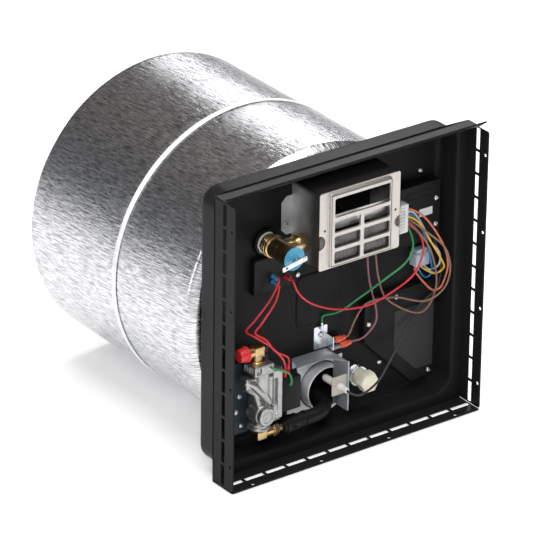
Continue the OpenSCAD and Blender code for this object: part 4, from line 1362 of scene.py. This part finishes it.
@dataclass
class GasValve:
    """Cast gas valve on its bracket, with inlet elbow, coil and jet."""

    y: float = -37.0
    front: float = -53.0

    def build(self) -> None:
        """Builds the casting and what is fixed to it."""
        f = self.front
        self._casting()
        dial = eased([(0, f - 4.4), (2.2, f - 4.4), (2.8, f - 5.2), (6.4, f - 5.2), (6.8, f - 4.7),
                      (8.2, f - 4.7), (8.6, f - 6), (11.7, f - 6), (12.6, f - 5), (12.6, f + 1), (7.7, f + 1),
                      (7.7, f + 9), (0, f + 9)], 0.35)
        cap = Shape().turned(Axis.Y, (-133, 0, 81), dial, segments=56)
        cap.done("regulator_cover", Finish.CAST, ["regulator_cap"])
        self._pipes()
        self._coil()
        self._bracket()

    def _casting(self) -> None:
        """Valve body: a core with a barrel, arms, bosses and a flange, melted together."""
        y, f = self.y, self.front
        block = Shape().block((-139, f + 8, 64), (-110, -21, 142), 3, 3)
        block.block((-112, f + 1, 70), (-104, -22, 142), 1.6, 3)
        block.block((-118, f + 3, 66), (-104, -22, 92), 3, 3)
        block.block((-150, f, 140.6), (-119, -27, 155), 1.4, 3)
        block.block((-119, f + 1, 130), (-104, -26, 142), 1.6, 3)
        for at, z0, z1, r in (((-132, f + 11.5), 108, 142, 11), ((-120, f + 8), 96, 134, 4.2)):
            barrel = eased([(0, z0 - 6), (r * 0.6, z0 - 5), (r, z0), (r, z1), (0, z1)], 3)
            block.turned(Axis.Z, (*at, 0), barrel, segments=32)
        arm = eased([(0, -158), (6.5, -158), (8, -156), (8, -140), (0, -140)], 0.5)
        block.turned(Axis.X, (0, y, 125), arm, segments=32)
        stub = eased([(0, -112), (5.4, -112), (5.4, -101.5), (4.6, -101), (0, -101)], 0.5)
        block.turned(Axis.X, (0, f + 9, 136), stub, segments=28)
        foot = eased([(0, 57), (15, 57), (15, 60.2), (13.6, 61), (13.6, 61.8), (14.4, 62.4), (14.4, 65),
                      (12, 67), (0, 67)], 0.6)
        block.turned(Axis.Z, (-131.5, y, 0), foot, segments=48)
        seat = eased([(0, f + 1.2), (13.2, f + 1.2), (14.6, f + 5), (14.6, -30), (0, -30)], 0.8)
        block.turned(Axis.Y, (-133, 0, 81), seat, segments=48)
        for x, z, r in ((-112, 74, 4.6), (-108, 120, 4.0)):
            boss = eased([(0, f + 0.6), (r - 0.8, f + 0.6), (r, f + 3), (r, -30), (0, -30)], 0.6)
            block.turned(Axis.Y, (x, 0, z), boss, segments=24)
        rib = [(-156, f + 14, 132), (-146, f + 9, 126), (-136, f + 5, 114), (-128, f + 5, 103),
               (-124, f + 6, 96)]
        block.swept(rib, 5.4, 16)
        branch = [(-150, f + 16, 118), (-142, f + 10, 112), (-138, f + 8, 96), (-137, f + 8, 88)]
        block.swept(branch, 4.2, 14)
        block.block((-158, f + 8, 120), (-142, -28, 136), 2.5, 3)
        pockets = Shape()
        for y0, y1 in ((f + 3.5, f + 12), (f + 14.5, f + 23)):
            pockets.block((-152, y0, 143.5), (-145, y1, 152.5), 0.8)
        pockets.block((-147, f - 2, 143.5), (-139, f + 4, 152), 0.8)
        block.without(pockets).cast(0.7, 4)
        block.done("valve_casting", Finish.CAST, ["valve_body"], angle=60)

    def _pipes(self) -> None:
        """Inlet elbow with its ring and cap, and the gas jet."""
        y = self.y
        elbow = Shape().block((-143.5, y - 7.4, 163.2), (-128.6, y + 7.4, 178), 0.9, 2)
        spout = eased([(0, -158), (7.2, -158), (7.5, -157.4), (7.5, -140), (0, -140)], 0.3)
        elbow.turned(Axis.X, (0, y, 170.5), spout, segments=40)
        neck = [(0, 148), (5.7, 148), (5.7, 157), (7.4, 157), (7.4, 165), (0, 165)]
        elbow.turned(Axis.Z, (-136, y, 0), neck, segments=40)
        elbow.done("inlet_bend", Finish.BRASS, ["inlet_elbow"])
        hoop = eased([(7.0, 155.1), (11, 155.1), (11, 156.6), (10, 157.8), (7.6, 157.8), (7.0, 157)], 0.4)
        collar = Shape().turned(Axis.Z, (-136, y, 0), hoop, segments=40, closed=True)
        collar.done("inlet_ring", Finish.GOLD, slot="brass")
        skin = eased([(7.8, -152), (11, -152), (11, -155.4), (9.6, -156), (9.2, -163.5), (8, -166),
                      (0, -166)], 0.8)
        lining = [(0, -158.6), (7.8, -158.6), (7.8, -152)]
        cap = Shape().turned(Axis.X, (0, y, 170.5), skin + lining, segments=40)
        cap.done("inlet_plug", Finish.RED, ["inlet_cap"], body="inlet_cap")
        shank = eased([(0, 66), (4.7, 66), (4.7, 57), (9, 57), (9, 52), (7.6, 51), (0, 51)], 0.5)
        jet = Shape().turned(Axis.Z, (-131.5, y, 0), shank, segments=40)
        jet.block((-139.5, y - 10, 42), (-123.5, y + 6, 55.5), 2.2, 3)
        nozzle = eased([(0, -127), (7, -127), (7, -104.5), (6, -104), (6, -96.4), (0, -96.4)], 0.4)
        jet.turned(Axis.X, (0, y - 2, 49), nozzle, segments=40)
        nut = eased([(6.9, -112), (8.8, -112), (9.5, -111), (9.5, -104), (8.8, -103), (6.9, -103)], 0.2)
        jet.turned(Axis.X, (0, y - 2, 49), nut, segments=6)
        jet.done("gas_jet", Finish.BRASS, ["orifice_fitting"])

    def _coil(self) -> None:
        """Coil with its two sleeved tags."""
        y = self.y
        coil = Shape().block((-104, y - 15, 76), (-74, y + 17, 124), 2.0, 3)
        core = eased([(0, -74.5), (8, -74.5), (8, -72.6), (7.4, -72), (0, -72)], 0.3)
        coil.turned(Axis.X, (0, y, 100), core, segments=32)
        coil.block((-101, y - 15.8, 80), (-77, y - 14.6, 120), 0.4)
        coil.done("valve_solenoid", Finish.BLACK_PLASTIC, ["valve_coil"])
        tags = Shape()
        sleeve = eased([(0, 124), (2.6, 124), (2.6, 130), (1.9, 131), (1.9, 135), (0, 135)], 0.3)
        for x, depth in ((-96, -45), (-84, -36)):
            tags.turned(Axis.Z, (x, depth, 0), sleeve, segments=20)
        tags.done("coil_sleeves", Finish.RED, slot="red_plastic")
        dress(Finish.STEEL, "valve_plunger", "plunger_spring")

    def _bracket(self) -> None:
        """Bent plate that holds the valve off the wall."""
        face = [(-166, 46), (-124, 46), (-104, 66), (-104, 150), (-166, 150)]
        holes = [screw_hole(-151, 101), screw_hole(-156, 79), screw_hole(-148, 57)]
        plate = Shape().plate(face, (-20, -18.5), holes, 0.3)
        plate.plate(box2(-20, 0, 46, 150), (-166, -164.5), bevel=0.3, axis=Axis.X)
        plate.plate(box2(-20, 0, 66, 150), (-105.5, -104), bevel=0.3, axis=Axis.X)
        plate.plate(rounded(-178, -164.5, 84, 116, 3), (-1.5, 0), [screw_hole(-171, 100)], 0.3)
        plate.plate(rounded(-105.5, -91, 130, 150, 3), (-1.5, 0), [screw_hole(-98, 140)], 0.3)
        plate.done("valve_mount", Finish.SLATE, ["valve_bracket"])


@dataclass
class Burner:
    """Burner tube with its air shutter, the flue ring and the galvanised bracket."""

    y: float = -39.0
    z: float = 49.0
    bend: float = 36.0
    mouth: Point2 = (-4.0, 67.0)
    mouth_r: float = 32.0
    out: float = 16.0

    def build(self) -> None:
        """Builds the tube, shutter, ring and bracket."""
        path = [(-96, self.y, self.z), (-92, self.y, self.z)]
        path += [(-90 + 46 * i / 8, self.y, self.z) for i in range(9)]
        turn = [math.radians(6 * i) for i in range(1, 16)]
        path += [(-44 + self.bend * math.sin(a), self.y + self.bend * (1 - math.cos(a)), self.z)
                 for a in turn]
        path += [(-8, -3 + 113 * i / 10, self.z) for i in range(1, 11)]
        tube = Shape().swept(path, 10, 40)
        bead = eased([(9.9, -60), (10.9, -60), (10.9, -56), (9.9, -56)], 0.4)
        tube.turned(Axis.X, (0, self.y, self.z), bead, segments=40)
        slits = Shape()
        for i in range(9):
            slits.block((-14, 62 + 5 * i, self.z + 6), (-2, 64 + 5 * i, self.z + 11), 0)
        tube.without(slits).done("burner_pipe", Finish.BURNER, ["burner_tube"])
        band = eased([(10.3, -92), (11.5, -92), (11.5, -72), (10.3, -72), (10.3, -92)], 0.3)
        shutter = Shape().turned(Axis.X, (0, self.y, self.z), band, segments=48)
        shutter.block((-84, self.y - 18, self.z - 0.8), (-80, self.y - 10.8, self.z + 0.8), 0.3)
        ports = Shape()
        for z in (-14, 7):
            ports.block((-88, self.y - 4, self.z + z), (-76, self.y + 4, self.z + z + 7), 0)
        shutter.without(ports).done("air_band", Finish.BURNER, ["air_shutter"], body="air_shutter")
        dress(Finish.BURNER, "flue_tube")
        self._mouth()
        self._hood()

    def _mouth(self) -> None:
        """Wall plate and the bright sleeve on the flue's mouth."""
        (x, z), r, out = self.mouth, self.mouth_r, self.out
        outline = [(-43, 103), (-38, 72), (-40, 44), (-58, 43), (-58, 36), (-40, 33), (10, 33), (32, 48),
                   (32, 103)]
        plate = Shape().plate(outline, (-1, 0), [ring(x, z, r + 2.2, 72)], 0.25)
        plate.done("flue_plate", Finish.PALE_ZINC, ["flue_collar"])
        lip = eased([(r + 0.05, 0), (r + 0.45, 0), (r + 0.45, -out + 1), (r + 0.1, -out - 0.4),
                     (r - 1.6, -out - 0.4), (r - 2.1, -out), (r - 2.1, -out + 3)], 0.5)
        sleeve = Shape().turned(Axis.Y, (x, 0, z), lip, segments=96)
        sleeve.done("flue_sleeve", Finish.PALE_ZINC, slot="galvanised")

    def _hood(self) -> None:
        """Sheet over the mouth with its wall strip and side."""
        top, side = 119.0, 5.0
        roof = [(-51, 0), (side, 0), (side, -50), (-12, -27), (-62, -27)]
        sheet = Shape().plate(roof, (top - 1, top), bevel=0.25, axis=Axis.Z)
        sheet.plate(box2(-51, side, 103.5, top), (-1, 0), [screw_hole(-38, 111)], 0.25)
        wing = [(-50, 46), (-18, 46), (-18, top), (-50, top)]
        sheet.plate(wing, (side - 1, side), bevel=0.25, axis=Axis.X)
        sheet.block((side - 1, -50.2, 46), (side + 1.4, -49, top), 0.4)
        sheet.done("burner_hood", Finish.GALVANISED, ["burner_bracket"])


@dataclass
class Igniter:
    """Spark electrode, earth tab and thermal cut-off."""

    x: float = -7.0
    z: float = 84.5

    def build(self) -> None:
        """Builds the electrode and the tab with its terminals."""
        eye = [ring(self.x, self.z, 5.15, 32)]
        clamp = Shape().plate(rounded(-20, 4, 73, 100, 1.0), (-48, -46.5), eye, 0.3)
        clamp.plate(rounded(self.x - 7, self.x + 7, self.z - 7, self.z + 7, 3), (-46.5, -43), eye, 0.5)
        clamp.done("electrode_plate", Finish.BEIGE, ["electrode_clamp"])
        steps = eased([(0, -13), (3.6, -13), (4.8, -16), (5, -24), (5, -53), (4.2, -54.5), (4.1, -57),
                       (3.9, -63), (3.2, -64), (0, -64)], 0.8)
        insulator = Shape().turned(Axis.Y, (self.x, 0, self.z), steps, segments=40)
        insulator.done("electrode_insulator", Finish.CERAMIC, ["electrode_ceramic"])
        rods = Shape()
        for x in (-2.4, 2.4):
            straight = [(self.x + x, y, self.z) for y in (-14, 10, 24)]
            rods.swept([*straight, (self.x + x * 0.9, 34, self.z)], 1.1, 12)
        rods.done("spark_rods", Finish.STEEL, ["electrode_rods"])
        tab = Shape().plate(rounded(-16, 6, 121, 154, 2), (-1.5, 0), [screw_hole(-5, 142)], 0.3)
        tab.plate(box2(-16, -0.5, 121, 140), (4.5, 6), bevel=0.3, axis=Axis.X)
        crimp = eased([(0, 150), (2.5, 150), (2.5, 156), (2.1, 157), (2.1, 160), (0, 160)], 0.4)
        tab.turned(Axis.Z, (-5, -3.5, 0), crimp, segments=24)
        tab.done("earth_tab", Finish.ZINC, ["ground_tab"])
        cans = Shape()
        for z, x1, r in ((121.5, 20, 3.8), (131.5, 12, 3.2)):
            cans.turned(Axis.X, (0, -10, z), eased([(0, 6), (r, 6), (r, x1), (0, x1)], 0.5), segments=28)
        cans.done("cutoff_can", Finish.SENSOR, ["thermal_cutoff"])
        sleeves = Shape()
        for z, x0, x1 in ((121.5, 20, 38), (131.5, 12, 28)):
            boot = eased([(0, x0), (4.2, x0), (4.7, x0 + 1), (4.7, x1 - 6), (3.4, x1 - 4), (3.4, x1 - 2),
                          (3.6, x1), (1.6, x1), (0, x1 - 0.8)], 0.5)
            sleeves.turned(Axis.X, (0, -10, z), boot, segments=28)
        sleeves.done("orange_sleeves", Finish.ORANGE, ["orange_terminals"])


@dataclass
class Drain:
    """Drain neck and its nylon plug."""

    x: float = 51.0
    z: float = 68.0

    def build(self) -> None:
        """Builds the neck and plug."""
        at = (self.x, 0, self.z)
        neck = [(9.5, 15.5), (12, 15.5), (12, 11), (15, 11), (15, -6), (14.2, -7), (15, -8), (14.2, -9),
                (15, -10), (14.2, -11), (15, -12), (14.4, -13.4), (13.8, -14), (9.5, -14), (9.5, 15.5)]
        socket = Shape().turned(Axis.Y, at, eased(neck, 0.4), segments=56)
        socket.done("drain_socket", Finish.ZINC, ["drain_neck"])
        head = [(0, -40), (13.4, -40), (15, -38), (15, -26), (13.6, -24), (0, -24)]
        plug = Shape().turned(Axis.Y, at, eased(head, 0.8), segments=6, spin=30)
        sharp = [e for e in plug.bm.edges if abs(e.calc_face_angle(0.0)) > 0.7]
        bmesh.ops.bevel(plug.bm, geom=sharp, offset=0.7, segments=2, profile=0.5, affect="EDGES")
        thread = [(0, -25), (12.5, -25), (12.5, -24), (11.4, -14.6), (11, -14), (9.2, -14), (8.6, -12.4),
                  (9.2, -10.8), (8.6, -9.2), (9.2, -7.6), (8.6, -6), (9.2, -4.4), (8.6, -2.8), (9.2, -1.2),
                  (8.6, 0.4), (8.4, 4), (0, 4)]
        plug.turned(Axis.Y, at, eased(thread, 0.3), segments=48)
        plug.done("drain_stopper", Finish.NYLON, ["drain_plug"], body="drain_plug")


@dataclass
class Controls:
    """Control box with its plugs, and the wiring cover with its bare label plate."""

    left: float = 100.0
    right: float = 178.0
    low: float = 240.0
    top: float = 326.0
    deep: float = 17.0

    def build(self) -> None:
        """Builds the box, plugs and cover."""
        l, r, b, t, d = self.left, self.right, self.low, self.top, self.deep
        hollow = rounded(l + 2, r - 2, b + 2, t - 2, 2)
        case = Shape().plate(rounded(l, r, b, t, 3), (-d, 0), [hollow], 0.6)
        lid, opening = rounded(l + 1, r - 1, b + 1, t - 1, 2), box2(103.5, 110.5, 273.5, 307.5)
        case.plate(lid, (-d + 0.4, -d + 2), [opening], 0.2)
        case.plate(rounded(120, 164, 250, 316, 3), (-d, -d + 1), bevel=0.4)
        for x0, z0 in ((124, 256), (124, 268), (124, 304), (148, 304)):
            case.block((x0, -d - 0.5, z0), (x0 + 14, -d + 0.5, z0 + 3), 0.3)
        case.done("control_case", Finish.BLACK_PLASTIC, ["board_case"])
        sticker = Shape().plate(rounded(143, 165, 278, 289, 0.8, 3), (-d - 0.35, -d), bevel=0.1)
        sticker.done("blank_sticker", Finish.PAPER, slot="white_plastic")
        plug = Shape().block((100, -31, 270), (114, -d, 311), 0.8)
        plug.without(Shape().block((103.7, -24.3, 273.7), (110.3, -d + 1, 307.3), 0))
        cuts = Shape()
        for i in range(8):
            cuts.block((110.5, -28.2, 272.1 + 3.857 * i), (115, -21.8, 274.9 + 3.857 * i), 0)
            cuts.block((101, -32, 273.2 + 4.6 * i), (108, -29.6, 275.8 + 4.6 * i), 0)
        plug.without(cuts).done("board_plug", Finish.WHITE, ["board_connector"])
        pins = Shape()
        seal = eased([(0, 110.6), (1.55, 110.6), (1.55, 115), (0, 115)], 0.2)
        for i in range(8):
            pins.turned(Axis.X, (0, -25, 273.5 + 3.857 * i), seal, segments=12)
        pins.done("plug_seals", Finish.ZINC, slot="zinc")
        link = Shape().block((142, -15, 203), (165, 0, 221), 0.8)
        link.block((145, -13, 220), (162, -1, 227), 0.6)
        link.block((149, -16.6, 207), (158, -14.4, 219), 0.6)
        link.done("harness_plug", Finish.GREY_BLUE, ["inline_connector"])
        self._cover()
        dress(Finish.BOARD, "control_board")

    def _cover(self) -> None:
        """Wiring cover on its three posts, and the bare plate on it."""
        outline = [(60, 170), (60, 114), (140, 34), (178, 34), (178, 176), (100, 176)]
        inner = [(61, 169.5), (61, 114.4), (140.4, 35), (177, 35), (177, 175), (100, 175)]
        cover = Shape().plate(outline, (-12, 0), [inner], 0.5)
        lid = [(60.4, 169.6), (60.4, 114.2), (140.2, 34.4), (177.6, 34.4), (177.6, 175.6), (100, 175.6)]
        posts = ((66.7, 140), (112, 168), (170, 42))
        cover.plate(lid, (-12, -11), [screw_hole(x, z) for x, z in posts], 0.4)
        post = [(1.8, -11.5), (4.5, -11.5), (4.5, 0), (1.8, 0)]
        for x, z in posts:
            cover.turned(Axis.Y, (x, 0, z), post, segments=24, closed=True)
        cover.done("harness_cover", Finish.COVER, ["wiring_cover"])
        plate = [(110, 146), (176, 146), (176, 50), (148, 50), (110, 88)]
        Shape().plate(plate, (-12.5, -12), bevel=0.15).done("bare_plate", Finish.LABEL, ["label_plate"])


@dataclass
class Screws:
    """All the pan-head screws."""

    spots: tuple = (
        (-66, 321, -1), (83, 335, -1), (171, 300, -17), (171, 262, -17), (66.7, 140, -12), (112, 168, -12),
        (170, 42, -12), (154, 191, 0), (95, 71, 0), (156, 337, 0), (-44, 240, 0), (-171, 100, -1.5),
        (-98, 140, -1.5), (-151, 101, -20), (-156, 79, -20), (-148, 57, -20), (-5, 142, -1.5), (-38, 111, -1))

    def build(self) -> None:
        """Builds the screws with crossed recesses."""
        heads, recess = Shape(), Shape()
        head = eased([(0, -2.4), (2.2, -2.35), (3.4, -1.8), (4, -0.6), (4, 0), (1.5, 0), (1.5, 1.2),
                      (0, 1.2)], 0.3)
        for n, (x, z, y) in enumerate(self.spots):
            heads.turned(Axis.Y, (x, y, z), head, segments=24)
            turn = Matrix.Rotation(math.radians(17 + 53 * n), 3, "Y")
            for half in ((2.3, 0.42), (0.42, 2.3)):
                bar = Shape().block((-half[0], -3, -half[1]), (half[0], -1.3, half[1]), 0)
                bar.moved(lambda p: turn @ p + Vector((x, y, z)))
                recess.join(bar)
        heads.without(recess).done("pan_head_screws", Finish.ZINC, ["screws"])


@dataclass(frozen=True)
class Wire:
    """One wire along its route from the rear wall."""

    name: str
    node: str
    finish: Finish
    route: tuple
    diameter: float = 2.8

    def build(self) -> None:
        points = [shared(p) for p in smooth_path(self.route, 3.0)]
        curve = bpy.data.curves.new(self.name, "CURVE")
        curve.dimensions, curve.bevel_depth, curve.bevel_resolution = "3D", self.diameter * MM / 2, 3
        curve.use_fill_caps = True
        spline = curve.splines.new("POLY")
        spline.points.add(len(points) - 1)
        for slot, p in zip(spline.points, points):
            slot.co = (*p, 1.0)
        spline.use_smooth = True
        curve.materials.append(self.finish.material())
        piece = settle(bpy.data.objects.new(self.name, curve), [self.node], HOME)


class Harness:
    """The wires and the ignition lead."""

    wires = (
        Wire("earth_wire", "wire_green", Finish.WIRE_GREEN, (
            (114, -25, 273.5), (119, -25, 273.5), (116, -40, 254), (102, -43, 234), (74, -36, 215),
            (44, -21, 190), (17, -13, 174), (-3, -4.5, 170), (-5, -3.5, 165), (-5, -3.5, 160))),
        Wire("valve_earth", "wire_green", Finish.WIRE_GREEN, (
            (-124, -53, 149), (-124, -57, 149), (-113, -61, 145), (-101, -60, 137), (-95, -58, 126),
            (-94, -56, 116), (-94, -52, 116))),
        Wire("limit_wire", "wire_red", Finish.WIRE_RED, (
            (114, -25, 277.4), (119, -25, 277.4), (128, -37, 266), (132, -42, 248), (130, -40, 228),
            (119, -36, 206), (89, -31, 189), (51, -28, 179), (2, -27, 187), (-41, -29, 208),
            (-64, -30, 230), (-71, -26, 249), (-71, -20, 249))),
        Wire("valve_wire_a", "wire_red", Finish.WIRE_RED, (
            (-92, -20, 255), (-92, -25, 255), (-106, -24, 230), (-130, -23, 206), (-147, -28, 198),
            (-144, -44, 195), (-128, -56, 182), (-110, -58, 160), (-98, -49, 138), (-96, -45, 130),
            (-96, -45, 124))),
        Wire("valve_wire_b", "wire_red", Finish.WIRE_RED, (
            (-92, -20, 247), (-92, -25, 247), (-100, -27, 226), (-122, -28, 202), (-136, -33, 194),
            (-124, -41, 184), (-110, -42, 164), (-86, -38, 146), (-84, -36, 130), (-84, -36, 124))),
        Wire("cutoff_wire_a", "wire_brown", Finish.WIRE_BROWN, (
            (114, -25, 285.1), (119, -25, 285.1), (132, -45, 272), (162, -49, 242), (176, -45, 206),
            (174, -35, 172), (145, -31, 160), (96, -27, 178), (56, -21, 178), (42, -16, 158),
            (37, -10, 136), (33, -10, 131.5), (28, -10, 131.5))),
        Wire("vent_wire", "wire_brown", Finish.WIRE_BROWN, (
            (114, -25, 281.2), (119, -25, 281.2), (128, -45, 264), (146, -43, 233), (163, -33, 184),
            (158, -25, 148), (136, -23, 142), (90, -21, 174), (76, -19, 208), (73, -15, 242),
            (72, -9, 266), (72, -9, 272))),
        Wire("cutoff_wire_b", "wire_brown", Finish.WIRE_MAUVE, (
            (60, -9, 272), (60, -9, 266), (60, -14, 242), (62, -16, 212), (68, -16, 188),
            (75, -17, 160), (73, -17, 141), (58, -13, 124), (44, -10, 121.5), (38, -10, 121.5))),
        Wire("supply_blue", "wire_blue", Finish.WIRE_BLUE, (
            (114, -25, 292.8), (119, -25, 292.8), (131, -27, 283), (142, -29, 260), (150, -28, 240),
            (165, -19, 204), (172, -11, 186), (163, -8, 181), (152, -8, 196), (152, -8, 203))),
        Wire("supply_yellow", "wire_yellow", Finish.WIRE_YELLOW, (
            (114, -25, 288.9), (119, -25, 288.9), (131, -33, 279), (147, -37, 251), (170, -35, 214),
            (178, -28, 198), (169, -20, 190), (157, -8, 198), (157, -8, 203))),
        Wire("supply_salmon", "wire_pale", Finish.WIRE_SALMON, (
            (114, -25, 300.5), (119, -25, 300.5), (137, -34, 288), (158, -38, 258), (172, -39, 230),
            (180, -35, 204), (180, -27, 178), (174, -25, 168), (164, -20, 168), (147, -8, 193),
            (147, -8, 203))),
        Wire("supply_white", "wire_pale", Finish.WIRE_WHITE, (
            (114, -25, 296.6), (119, -25, 296.6), (133, -22, 287), (147, -22, 264), (157, -24, 243),
            (172, -26, 222), (178, -19, 201), (172, -9, 190), (162, -8, 198), (162, -8, 203))),
        Wire("spark_lead", "ignition_lead", Finish.RUBBER, (
            (-7, -64, 84.5), (-7, -70, 84), (3, -74.5, 80), (25, -65, 75), (56, -51, 77),
            (84, -39, 94), (108, -27, 108), (130, -19, 128), (152, -16, 148), (178, -16, 166),
            (184, -15, 200), (176, -10, 234), (174, -10, 239.2)), 3.2),
    )

    def build(self) -> None:
        """Lays every wire."""
        for wire in self.wires:
            wire.build()


@dataclass(frozen=True)
class Softbox:
    """A rectangular light that faces the heater."""

    name: str
    at: Point3
    size: Point2
    watts: float

    def build(self, target: Vector) -> None:
        """Sets the light in the scene.

        Args:
            target: Point that it faces.
        """
        data = bpy.data.lights.new(self.name, "AREA")
        data.shape, data.energy = "RECTANGLE", self.watts
        data.size, data.size_y = self.size
        lamp = bpy.data.objects.new(self.name, data)
        lamp.location = self.at
        lamp.rotation_euler = (target - Vector(self.at)).to_track_quat("-Z", "Y").to_euler()
        bpy.context.scene.collection.objects.link(lamp)


@dataclass
class Studio:
    """Pale floor, soft light and the camera of the photograph."""

    place: Point3 = (-3.381, -4.315, 2.9414)
    right: Point3 = (0.8044, -0.5940, 0.0121)
    up: Point3 = (0.2516, 0.3590, 0.8988)
    focal_px: float = 4709.54
    frame_px: float = 533.0
    sensor: float = 36.0
    target: Point3 = (-0.02, 0.2, 0.2)
    floor_half: float = 7.0
    floor_level: float = -0.0011
    room_low: tuple = (0.52, 0.58, 0.66, 1)
    room_high: tuple = (0.62, 0.53, 0.48, 1)
    room_strength: float = 0.21
    lights: tuple = (
        Softbox("top_softbox", (0.0, 0.0, 3.2), (3.0, 3.0), 145),
        Softbox("key_softbox", (-2.2, -2.4, 2.6), (1.0, 1.0), 45),
        Softbox("crest_panel", (2.2, 2.6, 1.9), (1.1, 0.7), 17),
        Softbox("left_strip", (-3.0, 1.6, 0.7), (0.5, 1.4), 10),
        Softbox("left_fill", (-3.0, -0.6, 1.0), (1.6, 1.2), 7),
    )

    def build(self) -> None:
        """Builds the floor, lights, world and camera."""
        self._floor()
        self._world()
        for light in self.lights:
            light.build(Vector(self.target))
        self._camera()
        view = bpy.context.scene.view_settings
        view.view_transform, view.look = "Standard", "None"
        view.exposure, view.gamma = 0.0, 1.0

    def _floor(self) -> None:
        """Pale floor that glows faintly, so that it stays near white under the heater."""
        half, low = self.floor_half, self.floor_level
        corners = [(-half, -half, low), (half, -half, low), (half, half, low), (-half, half, low)]
        mesh = bpy.data.meshes.new("floor")
        mesh.from_pydata(corners, [], [(0, 1, 2, 3)])
        g = Graph("pale_floor")
        tint = g.blend(g.noise(900, 3), (0.92, 0.92, 0.925), (0.88, 0.88, 0.885))
        mesh.materials.append(g.surface(
            base_color=tint, roughness=0.75, emission_color=(1.0, 1.0, 1.0), emission_strength=0.28))
        floor = bpy.data.objects.new("floor", mesh)
        bpy.context.scene.collection.objects.link(floor)

    def _world(self) -> None:
        """Dim room, bluish low down and brownish above."""
        world = bpy.data.worlds.new("soft_room")
        world.use_nodes = True
        nodes, links = world.node_tree.nodes, world.node_tree.links
        split = nodes.new("ShaderNodeSeparateXYZ")
        links.new(nodes.new("ShaderNodeTexCoord").outputs["Generated"], split.inputs[0])
        ramp = nodes.new("ShaderNodeValToRGB")
        stops = ((0.15, self.room_low), (0.70, self.room_high))
        for element, (position, colour) in zip(ramp.color_ramp.elements, stops):
            element.position, element.color = position, colour
        links.new(split.outputs[2], ramp.inputs[0])
        links.new(ramp.outputs[0], nodes["Background"].inputs["Color"])
        nodes["Background"].inputs["Strength"].default_value = self.room_strength
        bpy.context.scene.world = world

    def _camera(self) -> None:
        """Camera fitted to the photograph."""
        data = bpy.data.cameras.new("camera")
        data.sensor_width = data.sensor_height = self.sensor
        data.sensor_fit = "HORIZONTAL"
        data.lens = self.sensor * self.focal_px / self.frame_px
        data.clip_end = 50.0
        right, up = Vector(self.right).normalized(), Vector(self.up)
        up = (up - right * up.dot(right)).normalized()
        back = right.cross(up)
        camera = bpy.data.objects.new("camera", data)
        camera.matrix_world = Matrix((
            (right.x, up.x, back.x, self.place[0]), (right.y, up.y, back.y, self.place[1]),
            (right.z, up.z, back.z, self.place[2]), (0, 0, 0, 1)))
        bpy.context.scene.collection.objects.link(camera)
        bpy.context.scene.camera = camera


def main() -> None:
    """Builds the whole scene."""
    Studio().build()
    assemblies = (Harness(), Pan(), Drum(), Exhaust(), ReliefValve(), Thermostat(), GasValve(), Burner(),
                  Igniter(), Drain(), Controls(), Screws())
    for assembly in assemblies:
        assembly.build()
        log.info("built %s", type(assembly).__name__)


if __name__ == "__main__":
    main()
